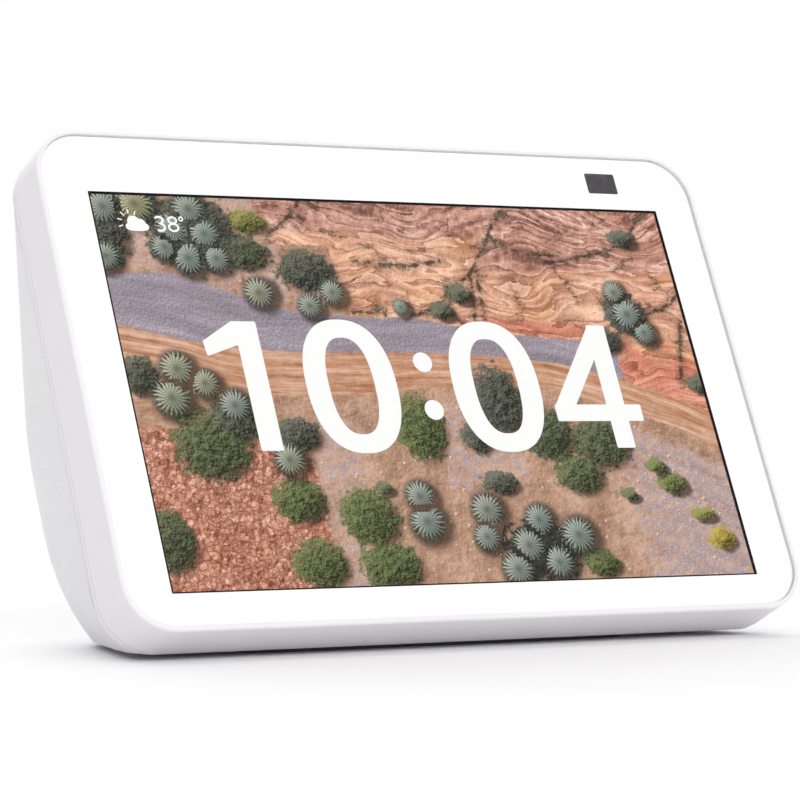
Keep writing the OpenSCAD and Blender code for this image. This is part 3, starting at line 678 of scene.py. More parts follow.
def bevelled(low, high, edge):
    """A block with its edges rounded, from its lowest and highest corners."""
    half = [(b - a) / 2 for a, b in zip(low, high)]
    middle = [(a + b) / 2 for a, b in zip(low, high)]
    rings = []
    for y, inset in ((-half[1], edge), (-half[1] + 0.3 * edge, 0.3 * edge), (-half[1] + edge, 0),
                     (half[1] - edge, 0), (half[1] - 0.3 * edge, 0.3 * edge), (half[1], edge)):
        ring = outline(half[0] - inset, half[2] - inset, edge, 3)
        rings.append([(middle[0] + px, middle[1] + y, middle[2] + pz) for px, pz in ring])
    return loft(rings)


def spun(profile, centre, axis="y", count=40):
    """A closed profile of (radius, place along the axis) turned round the axis through centre."""
    rings = []
    for radius, along in profile:
        ring = circle(radius, count)
        if axis == "y":
            rings.append([(centre[0] + a, along, centre[1] + b) for a, b in ring])
        else:
            rings.append([(centre[0] + a, centre[1] + b, along) for a, b in ring])
    return loft(rings, around=True)


def add_object(name, shape, where=on_panel):
    """A mesh object from a shape, its outside facing out."""
    points, faces = shape
    mesh = bpy.data.meshes.new(name)
    mesh.from_pydata([where(*p) for p in points], [], faces)
    work = bmesh.new()
    work.from_mesh(mesh)
    bmesh.ops.remove_doubles(work, verts=work.verts, dist=0.002 * MM)
    bmesh.ops.recalc_face_normals(work, faces=work.faces)
    work.to_mesh(mesh)
    work.free()
    obj = bpy.data.objects.new(name, mesh)
    bpy.context.scene.collection.objects.link(obj)
    return obj


def settle(obj):
    """Keeps what the modifiers make as the object's own mesh."""
    bpy.context.view_layer.update()
    made = bpy.data.meshes.new_from_object(obj.evaluated_get(bpy.context.evaluated_depsgraph_get()))
    old = obj.data
    obj.modifiers.clear()
    obj.data = made
    name = old.name
    bpy.data.meshes.remove(old)
    made.name = name


def carve(obj, tool_shape, where=on_panel, operation="DIFFERENCE"):
    """Cuts a shape out of an object, or keeps only what they share."""
    tool = add_object("tool", tool_shape, where)
    cut = obj.modifiers.new("cut", "BOOLEAN")
    cut.operation = operation
    cut.solver = "EXACT"
    cut.object = tool
    settle(obj)
    bpy.data.objects.remove(tool)


def take_in(obj, other):
    """Adds another object's mesh to this one, as it is."""
    work = bmesh.new()
    work.from_mesh(obj.data)
    work.from_mesh(other.data)
    work.to_mesh(obj.data)
    work.free()
    bpy.data.objects.remove(other)


def round_edges(obj, width, segments=3, angle=40):
    """Rounds the sharp edges of an object."""
    bevel = obj.modifiers.new("round", "BEVEL")
    bevel.width = width * MM
    bevel.segments = segments
    bevel.limit_method = "ANGLE"
    bevel.angle_limit = math.radians(angle)
    settle(obj)


def smooth(obj, angle=32):
    """Smooth shading between faces that meet gently, with flat faces kept flat."""
    obj.data.shade_smooth()
    obj.data.set_sharp_from_angle(angle=math.radians(angle))
    weighted = obj.modifiers.new("weighted", "WEIGHTED_NORMAL")
    weighted.keep_sharp = True
    weighted.weight = 80
    settle(obj)


def hand_over(obj, slot, body=HOUSING, replaces=(), material=None, angle=32):
    """Finishes a piece: shading, the material of its slot or the one given, the body it rides on, and hides the
    CAD parts that it replaces.
    """
    if angle:
        smooth(obj, angle)
    obj.data.materials.clear()
    obj.data.materials.append(material or finish_for(slot))
    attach(obj, body)
    if replaces:
        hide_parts(*replaces)
    return obj


def stadium(x, length, width, steps=14):
    """Outline of a round-ended slot along x, in x and depth, about the buttons' depth."""
    ring = outline(length / 2, width / 2, width / 2 - 0.001, steps)
    return [(x + px, BUTTON_DEPTH + pd) for px, pd in ring]


def upright(ring, levels):
    """An outline in x and depth raised through levels along the frame."""
    return [[(x, depth, level) for x, depth in ring] for level in levels]


class StageOperator(bpy.types.Operator):
    """Floor, light and camera for the display"""

    bl_idname = "smart_display.stage"
    bl_label = "Stage"

    def execute(self, context):
        sizes, colours = settings()
        scene = context.scene
        scene.view_settings.view_transform = "Standard"
        scene.view_settings.look = "None"
        camera_data = bpy.data.cameras.new("display_camera")
        camera_data.lens = sizes.lens
        camera_data.sensor_width = 36
        camera_data.dof.use_dof = False
        camera_data.clip_start = 0.05
        camera_data.clip_end = 200
        camera = bpy.data.objects.new("display_camera", camera_data)
        scene.collection.objects.link(camera)
        window = on_panel(0, 0, -WINDOW_DROP)
        turn = sizes.camera_azimuth
        camera.location = window + Vector((
            math.sin(turn), -math.cos(turn), -0.00416)) * sizes.camera_distance
        camera.rotation_euler = (math.radians(90), 0, math.radians(-30.9))
        scene.camera = camera

        floor = add_object("floor", loft([[(x, y, z) for x, y in outline(60000, 60000, 2000, 8)]
                                          for z in (-4.0, 0.0)]), on_table)
        paint = Paint("floor_white")
        cloud = paint.noise(paint.place(), 0.004, 2.0)
        floor.data.materials.append(paint.finish(paint.add("ShaderNodeBsdfPrincipled", inputs={
            "Base Color": paint.mix(cloud, full([c * 0.99 for c in colours.floor_white]),
                                    full(colours.floor_white)),
            "Roughness": 0.75, "Specular IOR Level": 0.15})))

        world = bpy.data.worlds.new("studio")
        scene.world = world
        world.use_nodes = True
        nodes, links = world.node_tree.nodes, world.node_tree.links
        nodes.clear()
        seen = nodes.new("ShaderNodeLightPath")
        level = nodes.new("ShaderNodeMix")
        level.data_type = "RGBA"
        level.inputs[6].default_value = (0.62, 0.616, 0.62, 1.0)
        level.inputs[7].default_value = (1.0, 1.0, 1.0, 1.0)
        links.new(seen.outputs["Is Camera Ray"], level.inputs[0])
        sky = nodes.new("ShaderNodeBackground")
        links.new(level.outputs[2], sky.inputs["Color"])
        last = nodes.new("ShaderNodeOutputWorld")
        links.new(sky.outputs[0], last.inputs["Surface"])

        for name, energy, spread, toward in (("soft_key", 1.5, 80, (0.05, 0.75, 1.0)),
                                             ("front_fill", 1.65, 70, (-0.05, -1.0, 0.3))):
            lamp_data = bpy.data.lights.new(name, "SUN")
            lamp_data.energy = energy
            lamp_data.angle = math.radians(spread)
            lamp = bpy.data.objects.new(name, lamp_data)
            scene.collection.objects.link(lamp)
            lamp.rotation_euler = Vector(toward).to_track_quat("Z", "Y").to_euler()
        return {"FINISHED"}


class FrontFrameOperator(bpy.types.Operator):
    """White frame round the glass, with its button slots, shutter slot and microphone holes"""

    bl_idname = "smart_display.front_frame"
    bl_label = "Front frame"

    def execute(self, context):
        sizes, _ = settings()
        bend = sizes.lip_round / MM
        profile = [(LIP, 0.1), (LIP - 0.03, 0.03), (LIP - 0.1, 0.0)]
        for i in range(9):
            angle = i / 8 * math.pi / 2
            profile.append((bend * (1 - math.sin(angle)), bend * (1 - math.cos(angle))))
        profile += [(0, FRAME_DEPTH / 2), (0, FRAME_DEPTH - 0.35), (0.1, FRAME_DEPTH - 0.1),
                    (0.35, FRAME_DEPTH), (WALL, FRAME_DEPTH), (WALL, 3.2), (5.2, 3.2), (5.2, 1.45),
                    (LIP, 1.45)]
        obj = add_object("display_frame", framed(FRAME_HALF_W, FRAME_HALF_H, FRAME_RADIUS, profile, True, 20))
        levels = (FRAME_HALF_H - WALL - 1, FRAME_HALF_H + 1)
        cuts = [loft(upright(stadium(x, 13.3, 3.7), levels)) for x in (-BUTTON_GAP, 0, BUTTON_GAP)]
        cuts.append(loft(upright(stadium(74.4, 21.2, 2.9), levels)))
        for x in (-50, 50):
            ring = [(px, BUTTON_DEPTH + pd) for px, pd in circle(0.6, 20, x)]
            cuts.append(loft(upright(ring, levels)))
        carve(obj, joined(*cuts))
        bosses = []
        for x in (-94.2, 94.2):
            for v in (-49, 0, 49):
                rings = [[(x + a, d, v + b) for a, b in circle(r, 24)]
                         for r, d in ((2.2, 3.15), (2.2, 4.7), (0.85, 4.7), (0.85, 3.15))]
                bosses.append(loft(rings, around=True))
        take_in(obj, add_object("lugs", joined(*bosses)))
        hand_over(obj, "frame_white", replaces=["front_frame"], angle=28)
        return {"FINISHED"}


class GlassOperator(bpy.types.Operator):
    """Cover glass, the white and smoked inks behind it, and the camera's lens"""

    bl_idname = "smart_display.glass"
    bl_label = "Glass and inks"

    def execute(self, context):
        half_w = FRAME_HALF_W - LIP - 0.05
        half_h = FRAME_HALF_H - LIP - 0.05
        radius = FRAME_RADIUS - LIP - 0.05
        edge = [(0.12, 0.0), (0.05, 0.02), (0.01, 0.06), (0, 0.12), (0, 1.0), (0.1, 1.1)]
        glass = add_object("front_glass", framed(half_w, half_h, radius, edge, steps=20))
        hand_over(glass, "cover_glass", replaces=["cover_glass"])

        ink_layer = add_object("white_print", framed(half_w - 0.04, half_h - 0.04, radius - 0.04,
                                                     [(0, 1.102), (0, 1.2)], steps=20))
        window = framed(WINDOW_HALF_W, WINDOW_HALF_H, 0.3, [(0, 0.9), (0, 1.4)], steps=3, v=-WINDOW_DROP)
        port = framed(4.85, 3.1, 0.45, [(0, 0.9), (0, 1.4)], steps=4, x=CAMERA_X, v=CAMERA_UP)
        carve(ink_layer, joined(window, port))
        hand_over(ink_layer, "print_white", replaces=["bezel_print"])

        smoke = add_object("camera_smoke", framed(4.83, 3.08, 0.43, [(0, 1.102), (0, 1.2)], steps=4,
                                                  x=CAMERA_X, v=CAMERA_UP))
        hand_over(smoke, "window_smoke", replaces=["camera_window"])

        spot = (CAMERA_X - 0.6, CAMERA_UP - 0.4)
        rings = []
        for i in range(7):
            angle = i / 6 * math.pi / 2
            rings.append([(spot[0] + a, 2.75 - 0.45 * math.cos(angle), spot[1] + b)
                          for a, b in circle(max(1.46 * math.sin(angle), 0.02), 28)])
        rings.append([(spot[0] + a, 3.1, spot[1] + b) for a, b in circle(1.46, 28)])
        inner = loft([[(spot[0] + a, d, spot[1] + b) for a, b in circle(r, 24)]
                      for r, d in ((1.2, 3.3), (1.3, 3.4), (1.3, 4.5), (1.2, 4.6))])
        lens = add_object("camera_lens_dome", joined(loft(rings), inner))
        hand_over(lens, "lens_glass", replaces=["camera_lens"])
        return {"FINISHED"}


# The picture sits a little off the window's middle, as the panel's own margins do
SLIP_ACROSS = 0.77
SLIP_UP = 0.47
# The picture on the lit panel, laid out in millimetres from the window's middle.
# Each line runs from left to right: where a band's edge lies up or down at a place across.
BAND_TOP = ((-87, 31), (-70, 32), (-60, 29), (-50, 25), (-40, 22), (-20, 20), (0, 20), (20, 16),
            (50, 14), (60, 11), (70, 5), (75, 0), (87, -3))
BAND_LOW = ((-87, 17), (-70, 13), (-60, 11), (-40, 9.7), (0, 9.7), (20, 9), (40, 7), (50, 5),
            (60, 2), (75, -3), (87, -7.5))
TRACK_LOW = ((-87, 7), (-70, 5.5), (-60, 1), (-50, -2.5), (-20, -2), (0, 0), (20, 1), (36, 0),
             (60, -7.5), (75, -12.5), (87, -19))
CRACKS = (((37, 56), (34, 51), (30, 47), (27, 42), (23, 37), (20, 33), (19, 27), (18, 19)),
          ((20, 33), (14, 29), (9, 25), (4, 22), (-2, 20)), ((23, 37), (22, 31), (21, 20)),
          ((84, 56), (78, 50), (75, 46), (66, 41), (52, 38), (45, 37)),
          ((-39, 43), (-33, 47), (-25, 55)), ((88, 30), (82, 25), (74, 22)), ((84, 20), (81, 10), (79, 2)),
          ((60, 25), (68, 15), (74, 14)), ((-14, 36), (2, 35), (12, 37)), ((28, 45), (36, 40), (50, 39)),
          ((-20, 21), (-10, 22), (-7, 16)), ((12, 30), (11, 22), (14, 18)))
# Bushes: across, up, half width, half height, and hue from blue-green 0 to yellow 1
BUSHES = ((-68, -16, 11.5, 10, 0.35), (-47, -31, 8, 6.5, 0.45), (-28, -36, 9, 8.5, 0.6),
          (-25, -49, 9.5, 7, 0.62), (-45, -48, 8.5, 7, 0.45), (-7, -11.5, 8, 10, 0.45),
          (18.5, -4, 8, 11, 0.05), (9, -14, 5, 5, 0.1), (31, -13, 9, 8, 0.3), (47, -16, 10, 8, 0.3),
          (38, -25, 8, 6, 0.35), (-30, 33, 9.5, 6.3, 0.1), (-85, -41, 7.5, 9, 0.3), (-84, 3, 6, 6, 0.1),
          (-85, 44, 7, 12, 0.05), (-60, -9, 7.5, 7, 0.2), (-43, -13, 7, 5, 0.1), (67, -28, 5, 3.5, 0.8),
          (63, -23, 3.5, 2.5, 0.78), (78, -44, 4.5, 3.5, 1.0), (74, -37, 4.5, 2.2, 0.85),
          (-44, 47, 6, 3.5, 0.85), (-48, 38, 9, 5.5, 0.25), (57, 14, 6, 4, 0.1), (8, 22, 4, 3, 0.2),
          (15, 27, 4.5, 3, 0.2), (72, 45, 5, 3, 0.1), (84, 1, 4, 3, 0.2), (38, -50, 6, 4, 0.75),
          (13, -27, 6, 3.5, 0.05), (21, -46, 13, 9, 0.0), (-60, 43, 14, 12, 0.05), (-22, -28, 3, 2, 0.3),
          (52, -31, 3, 2, 0.3), (-75, 52, 8, 5, 0.1), (66, 22, 7, 7, 0.05))
# Agaves: across, up, radius, and tint from blue-grey 0 to straw 1
AGAVES = ((-75, 51, 7, 0.9), (-60, 50, 6, 0.2), (-66, 44, 6, 0.1), (-57, 43, 5.5, 0.1), (-63, 36, 6, 0.1),
          (-69, 39, 5, 0.2), (-55, 36, 5, 0.15), (-45, 26.5, 5.5, 0.5), (-31, 23, 4.5, 0.3),
          (-23.5, 27, 4.5, 0.3), (-73, 5, 6, 0.6), (-76, -3, 6.5, 0.5), (-66, 1, 5, 0.6),
          (-47, -20, 5.5, 0.5), (-59, -5, 5.5, 0.2), (-12, -30.5, 5.5, 0.2), (-11.5, -37.5, 6.5, 0.1),
          (7, -34.5, 6, 0.3), (5, -42, 5, 0.2), (22, -37.5, 5.5, 0.0), (33, -42, 6.5, 0.1),
          (17, -44.5, 6, 0.2), (25, -49.5, 5.5, 0.1), (12, -51, 6, 0.2), (67, 22, 6, 0.1),
          (64.5, 28.5, 4.5, 0.3),
          (71, 16.5, 4.5, 0.1), (-4, 23, 3, 0.2), (-86, 36, 5, 0.2), (-84, 50, 6, 0.2))


def height_at(line, across):
    """Height of a line of points at a place across."""
    for (x0, y0), (x1, y1) in zip(line, line[1:]):
        if across <= x1:
            return y0 + (y1 - y0) * max(across - x0, 0) / (x1 - x0)
    return line[-1][1]


def ease(low, high, value):
    """Smooth step from 0 at low to 1 at high."""
    t = min(max((value - low) / (high - low), 0), 1)
    return t * t * (3 - 2 * t)


def off_line(line, x, y):
    """Distance from a point to a line of points."""
    nearest = 1e9
    for (x0, y0), (x1, y1) in zip(line, line[1:]):
        span = (x1 - x0) ** 2 + (y1 - y0) ** 2
        t = min(max(((x - x0) * (x1 - x0) + (y - y0) * (y1 - y0)) / span, 0), 1)
        nearest = min(nearest, math.hypot(x - x0 - t * (x1 - x0), y - y0 - t * (y1 - y0)))
    return nearest


def picture_at(x, y):
    """What the picture shows at a place: the vectors that the picture's material reads."""
    top, low, foot = (height_at(line, x) for line in (BAND_TOP, BAND_LOW, TRACK_LOW))
    slope = ease(-3, 3, y - top)
    rock = slope * max(ease(-24, -19, x), ease(-44, -38, x) * ease(38, 43, y))
    gravel = (1 - slope) * ease(-2, 2, y - low)
    far_right = ease(57, 64, x)
    rock = max(rock, far_right * ease(-1, 1, y - low))
    gravel = gravel * (1 - far_right)
    track = (1 - ease(-2, 2, y - low)) * ease(-2.5, 2.5, y - foot)
    below = 1 - ease(-2, 2, y - foot)
    rubble = below * (1 - ease(-46, -34, x)) * (1 - ease(-16, -6, y - (x + 87) * -0.12))
    violet = below * max(ease(38, 66, x) * 0.85, ease(-45, -35, x) * (1 - ease(-30, -20, x)) * 0.6,
                         ease(-6, 0, x) * (1 - ease(20, 26, x)) * ease(-34, -26, y) * 0.6)
    violet = violet * ease(0, 10, foot - y)
    violet = max(violet, slope * (1 - ease(-40, -28, x)) * 0.55)
    crack = min(off_line(line, x, y) for line in CRACKS)
    dusky = max(ease(38, 48, y - abs(x - 5) * 0.05), ease(20, 26, x) * ease(30, 36, y) * 0.7)
    red = max(1 - abs(y - top - 2.5) / 4.5 if x > 20 else 0, ease(56, 62, x) * (1 - ease(6, 10, y)) * 1.3,
              ease(62, 70, x) * 0.4, 0)
    bush, hue = max((1 - ((x - cx) / w) ** 2 - ((y - cy) / h) ** 2, tint) for cx, cy, w, h, tint in BUSHES)
    shade = max(1 - ((x - cx - 1.6) / w) ** 2 - ((y - cy + 1.4) / h) ** 2 for cx, cy, w, h, _ in BUSHES)
    under = max(1 - math.hypot(x - cx - 1.1, y - cy + 1.0) / (r * 1.25) for cx, cy, r, _ in AGAVES)
    shade = max(shade, under * 1.6)
    nearest = sorted((math.hypot(x - cx, y - cy) / r, cx, cy, r, t) for cx, cy, r, t in AGAVES)
    far, cx, cy, size, tint = nearest[0]
    alone = far < 1.12 and nearest[1][0] - far > 0.24
    return {
        "spot": (x, y, y - (low + foot) / 2),
        "ground": (rock, gravel, track),
        "stones": (rubble, violet, crack),
        "plants": (max(bush, -1), hue, max(shade, -1)),
        "leaf": ((x - cx) / size, (y - cy) / size, tint),
        "tones": (1 if alone else 0, dusky, red),
    }


class PictureOperator(bpy.types.Operator):
    """Lit panel with its picture, the clock's figures and the weather sign"""

    bl_idname = "smart_display.picture"
    bl_label = "Screen picture"

    def execute(self, context):
        half_w, half_h, face, back = 89.5, 56.75, 1.55, 2.75
        columns, rows = 179, 114
        points, faces = [], []
        for j in range(rows + 1):
            for i in range(columns + 1):
                points.append((-half_w + 2 * half_w * i / columns, face,
                               -half_h + 2 * half_h * j / rows - WINDOW_DROP))
        for j in range(rows):
            for i in range(columns):
                k = j * (columns + 1) + i
                faces.append((k, k + 1, k + columns + 2, k + columns + 1))
        rim = ([i for i in range(columns + 1)]
               + [(j + 1) * (columns + 1) - 1 for j in range(1, rows + 1)]
               + [rows * (columns + 1) + i for i in range(columns - 1, -1, -1)]
               + [j * (columns + 1) for j in range(rows - 1, 0, -1)])
        first = len(points)
        points += [(points[k][0], back, points[k][2]) for k in rim]
        count = len(rim)
        for n in range(count):
            m = (n + 1) % count
            faces.append((rim[n], first + n, first + m, rim[m]))
        faces.append(tuple(range(first, first + count)))
        obj = add_object("lit_panel", (points, faces))
        origin = on_panel(0, 0, -WINDOW_DROP)
        fields = {name: [] for name in ("spot", "ground", "stones", "plants", "leaf", "tones")}
        for vertex in obj.data.vertices:
            away = (vertex.co - origin) / MM
            for name, vector in picture_at(away.dot(ACROSS) - SLIP_ACROSS, away.dot(UP) - SLIP_UP).items():
                fields[name] += vector
        for name, values in fields.items():
            obj.data.attributes.new(name, "FLOAT_VECTOR", "POINT").data.foreach_set("vector", values)
        hand_over(obj, "screen", replaces=["lcd_panel"], angle=0)
        self.add_figures()
        return {"FINISHED"}

    @staticmethod
    def plate(ring, lift=0.0, hole=None):
        """A thin raised figure on the panel's face, from an outline about the window's middle."""
        near, far = 1.5 - lift, 1.56
        outer = [(x + SLIP_ACROSS, y + SLIP_UP - WINDOW_DROP) for x, y in ring]
        if hole is None:
            return loft(on_depths(outer, near, far))
        inner = [(x + SLIP_ACROSS, y + SLIP_UP - WINDOW_DROP) for x, y in hole]
        return loft(on_depths(outer, near, far) + on_depths(inner, far, near), around=True)

    @staticmethod
    def oval(x, y, half_w, half_h, power=2.0, count=72):
        """Outline of a squared oval."""
        ring = []
        for i in range(count):
            c, s = math.cos(math.tau * i / count), math.sin(math.tau * i / count)
            ring.append((x + half_w * math.copysign(abs(c) ** (2 / power), c),
                         y + half_h * math.copysign(abs(s) ** (2 / power), s)))
        return ring

    @staticmethod
    def soft_corners(corners, radius, steps=5):
        """Outline with its corners rounded."""
        ring = []
        for i, here in enumerate(corners):
            here = Vector(here)
            before = Vector(corners[i - 1]) - here
            after = Vector(corners[(i + 1) % len(corners)]) - here
            cut = min(radius / math.tan(before.angle(after) / 2), before.length * 0.45, after.length * 0.45)
            start = here + before.normalized() * cut
            end = here + after.normalized() * cut
            for k in range(steps + 1):
                t = k / steps
                ring.append(tuple(start * (1 - t) ** 2 + here * 2 * t * (1 - t) + end * t * t))
        return ring

    def stroke(self, points, width, lift=0.0):
        """A line of round-ended bars through points."""
        shapes = []
        for n, (a, b) in enumerate(zip(points, points[1:])):
            a, b = Vector(a), Vector(b)
            along = (b - a).normalized()
            aside = Vector((-along.y, along.x))
            ring = []
            for end, start in ((b, -90), (a, 90)):
                for k in range(9):
                    angle = math.radians(start + k * 22.5)
                    ring.append(tuple(end + (along * math.cos(angle) + aside * math.sin(angle)) * width / 2))
            shapes.append(self.plate(ring, lift + 0.0007 * (n % 7)))
        return joined(*shapes)

    def add_figures(self):
        """The clock's time, the weather sign and its temperature."""
        shapes = []
        for x in (-24.1, 19.35):
            shapes.append(self.plate(self.oval(x, 0.3, 13.3, 18.8, 2.35), 0.0,
                                     self.oval(x, 0.35, 6.75, 13.6, 2.5)))
        one = ((-54.3, -17.6), (-48, -17.6), (-48, 18.2), (-55, 18.2), (-64.1, 12.6), (-63.6, 8.4),
               (-54.3, 11.6))
        shapes.append(self.plate(self.soft_corners(one, 0.5)))
        for y in (7.1, -6.5):
            shapes.append(self.plate(self.oval(-1.45, y, 2.8, 2.8, count=40)))
        stem = ((52.4, -17.6), (58.2, -17.6), (58.2, 18.4), (52.4, 18.4))
        bar = ((35.9, -9.8), (63.2, -9.8), (63.2, -5.0), (35.9, -5.0))
        slant = ((35.9, -9.8), (35.9, -5.7), (53.0, 18.4), (58.2, 18.4), (56.5, 14.0), (42.4, -5.6),
                 (42.4, -9.8))
        shapes.append(self.plate(self.soft_corners(stem, 0.5), 0.002))
        shapes.append(self.plate(self.soft_corners(bar, 0.5), 0.001))
        shapes.append(self.plate(self.soft_corners(slant, 0.4)))

        for n, (x, y, w, h) in enumerate(((-75.4, 44.4, 3.25, 1.25), (-76.2, 45.75, 1.75, 1.75),
                                          (-74.3, 45.25, 1.4, 1.4))):
            shapes.append(self.plate(self.oval(x, y, w, h, 2.6 if n == 0 else 2.0, 36), 0.001 * n))
        for angle in (60, 95, 130, 165, 200):
            c, s = math.cos(math.radians(angle)), math.sin(math.radians(angle))
            ray = ((-77.0 + 2.6 * c, 45.6 + 2.6 * s), (-77.0 + 3.6 * c, 45.6 + 3.6 * s))
            shapes.append(self.stroke(ray, 0.32))
        three = []
        for start, half_w, half_h, y in ((140, 1.15, 0.95, 46.45), (80, 1.35, 1.05, 44.45)):
            for angle in range(start, start - 231, -33):
                turn = math.radians(angle)
                three.append((-69.0 + half_w * math.cos(turn), y + half_h * math.sin(turn)))
        shapes.append(self.stroke(three, 0.6))
        for y, w, h in ((46.5, 1.4, 1.15), (44.45, 1.6, 1.3)):
            shapes.append(self.plate(self.oval(-65.2, y, w, h, count=32), 0.001 * (y > 45),
                                     self.oval(-65.2, y, w - 0.58, h - 0.55, count=32)))
        shapes.append(self.plate(self.oval(-62.7, 46.95, 0.72, 0.72, count=24), 0.0,
                                 self.oval(-62.7, 46.95, 0.35, 0.35, count=24)))
        figures = add_object("clock_figures", joined(*shapes))
        hand_over(figures, "screen", material=lit_white(), angle=40)


class ButtonsOperator(bpy.types.Operator):
    """Three push buttons on the top edge, each with its flange and stem"""

    bl_idname = "smart_display.buttons"
    bl_label = "Top buttons"

    def execute(self, context):
        under = FRAME_HALF_H - WALL
        top = FRAME_HALF_H + 0.6
        for x, body in ((-BUTTON_GAP, "mic_camera_button"), (0, "volume_down_button"),
                        (BUTTON_GAP, "volume_up_button")):
            rings = []
            for level, inset in ((under - 0.15, 0), (top - 0.4, 0), (top - 0.2, 0.06), (top - 0.07, 0.2),
                                 (top, 0.42), (top - 0.05, 0.9), (top - 0.1, 1.3)):
                ring = outline(6.5 - inset, 1.7 - inset, 1.699 - inset, 14)
                rings.append([(x + a, BUTTON_DEPTH + b, level) for a, b in ring])
            flange = bevelled((x - 7.5, BUTTON_DEPTH - 2.5, under - 0.95),
                              (x + 7.5, BUTTON_DEPTH + 2.5, under - 0.1), 0.2)
            ring = [(x + a, BUTTON_DEPTH + b) for a, b in circle(1.2, 24)]
            stem = loft(upright(ring, (63.6, under - 0.5)))
            cap = add_object(body + "_cap", joined(loft(rings), flange, stem))
            hand_over(cap, "button_white", body, [body])
        return {"FINISHED"}


class ShutterOperator(bpy.types.Operator):
    """Sliding camera shutter: the ridged knob on the top edge and its blade behind the glass"""

    bl_idname = "smart_display.shutter"
    bl_label = "Camera shutter"

    def execute(self, context):
        x = SHUTTER_X
        top = FRAME_HALF_H + 0.8
        half_l, half_w = 4.1, 1.2
        outer = []
        for i in range(83):
            along = -half_l + 0.05 * 2 * i * half_l / 8.2
            along = min(along, half_l)
            groove = 0.28 * max(0.0, math.cos(math.tau * along / 1.3)) ** 2 if abs(along) < 3.2 else 0
            end = half_l - abs(along)
            drop = 0.35 * (1 - ease(0, 0.45, end))
            outer.append((x + along, top - groove - drop))
        rings = []
        for side, lower in ((-half_w, 0.2), (-half_w + 0.15, 0.03), (-half_w + 0.35, 0), (half_w - 0.35, 0),
                            (half_w - 0.15, 0.03), (half_w, 0.2)):
            ring = [(a, BUTTON_DEPTH + side, b - lower) for a, b in outer]
            ring += [(x + a, BUTTON_DEPTH + side, CAMERA_UP + 3.6) for a in (half_l, -half_l)]
            rings.append(ring)
        knob = add_object("shutter_slider", loft(rings))
        hand_over(knob, "button_white", "camera_shutter", ["shutter_knob"], angle=40)

        blade_x = CAMERA_X + 4.85 + 0.85 + 6
        blade = bevelled((blade_x - 6, 1.32, CAMERA_UP - 3.6), (blade_x + 6, 1.72, CAMERA_UP + 3.55), 0.15)
        arm = bevelled((x - 4, 1.6, CAMERA_UP + 2.65), (x + 4, 8.3, CAMERA_UP + 3.55), 0.15)
        shade = add_object("shutter_plate", joined(blade, arm))
        hand_over(shade, "button_white", "camera_shutter", ["shutter_blade"])
        return {"FINISHED"}


class TrimOperator(bpy.types.Operator):
    """Thin white ring between the frame and the fabric"""

    bl_idname = "smart_display.trim"
    bl_label = "Trim ring"

    def execute(self, context):
        front, back = 14.5, 15.97
        profile = [(0.45, front), (0.28, front + 0.06), (0.2, front + 0.2), (0.2, back - 0.3),
                   (0.28, back - 0.1), (0.5, back), (5.9, back), (5.9, 12.4), (WALL + 0.2, 12.4),
                   (WALL + 0.2, front)]
        ring = framed(FRAME_HALF_W, FRAME_HALF_H, FRAME_RADIUS, profile, True, 20)
        lugs = []
        for x, v in ((-91, -42), (91, -42), (-91, 38), (91, 38), (-40, -59), (40, -59)):
            rings = [[(x + a, d, v + b) for a, b in circle(r, 28)]
                     for r, d in ((3.1, 12.15), (3.1, 14.1), (1.3, 14.1), (1.3, 12.15))]
            lugs.append(loft(rings, around=True))
            if abs(x) > 60:
                side = math.copysign(1, x)
                lugs.append(bevelled((min(x + 2 * side, x + 4.6 * side), 12.5, v - 2.6),
                                     (max(x + 2 * side, x + 4.6 * side), 14.0, v + 2.6), 0.15))
            else:
                lugs.append(bevelled((x - 2.6, 12.5, v - 4.5), (x + 2.6, 14.0, v - 2), 0.15))
        obj = add_object("white_trim", joined(ring, *lugs))
        hand_over(obj, "frame_white", replaces=["trim_ring"])
        return {"FINISHED"}


def dome_section(share, inset):
    """Half width, half height, corner radius, middle and depth of the dome at a share of its depth."""
    half_w = (FRAME_HALF_W - inset) * (1 - share ** 2.45) ** (1 / 2.45)
    half_h = (FRAME_HALF_H - inset) * (1 - share ** 1.9) ** (1 / 1.9)
    least = min(half_w, half_h)
    start = max(FRAME_RADIUS - inset, 3)
    radius = min(start + (least - start) * share ** 0.235, least * 0.999)
    return half_w, half_h, radius, -DOME_DROP * share, DOME_FRONT + (DOME_DEPTH - inset) * share


def pulled_tight(rings, rim):
    """The same rings pushed out wherever the shape they make with the rim is hollow, as tight cloth is."""
    work = bmesh.new()
    for ring in [rim, *rings]:
        for point in ring:
            work.verts.new(point)
    bmesh.ops.convex_hull(work, input=work.verts[:])
    tree = BVHTree.FromBMesh(work)
    work.free()
    out = []
    for ring in rings[:-1]:
        middle = sum((Vector(point) for point in ring), Vector()) / len(ring)
        spread = []
        for point in ring:
            heading = Vector(point) - middle
            hit, _, _, away = tree.ray_cast(middle, heading)
            spread.append(tuple(hit) if hit and away > heading.length else point)
        out.append(spread)
    return [*out, rings[-1]]


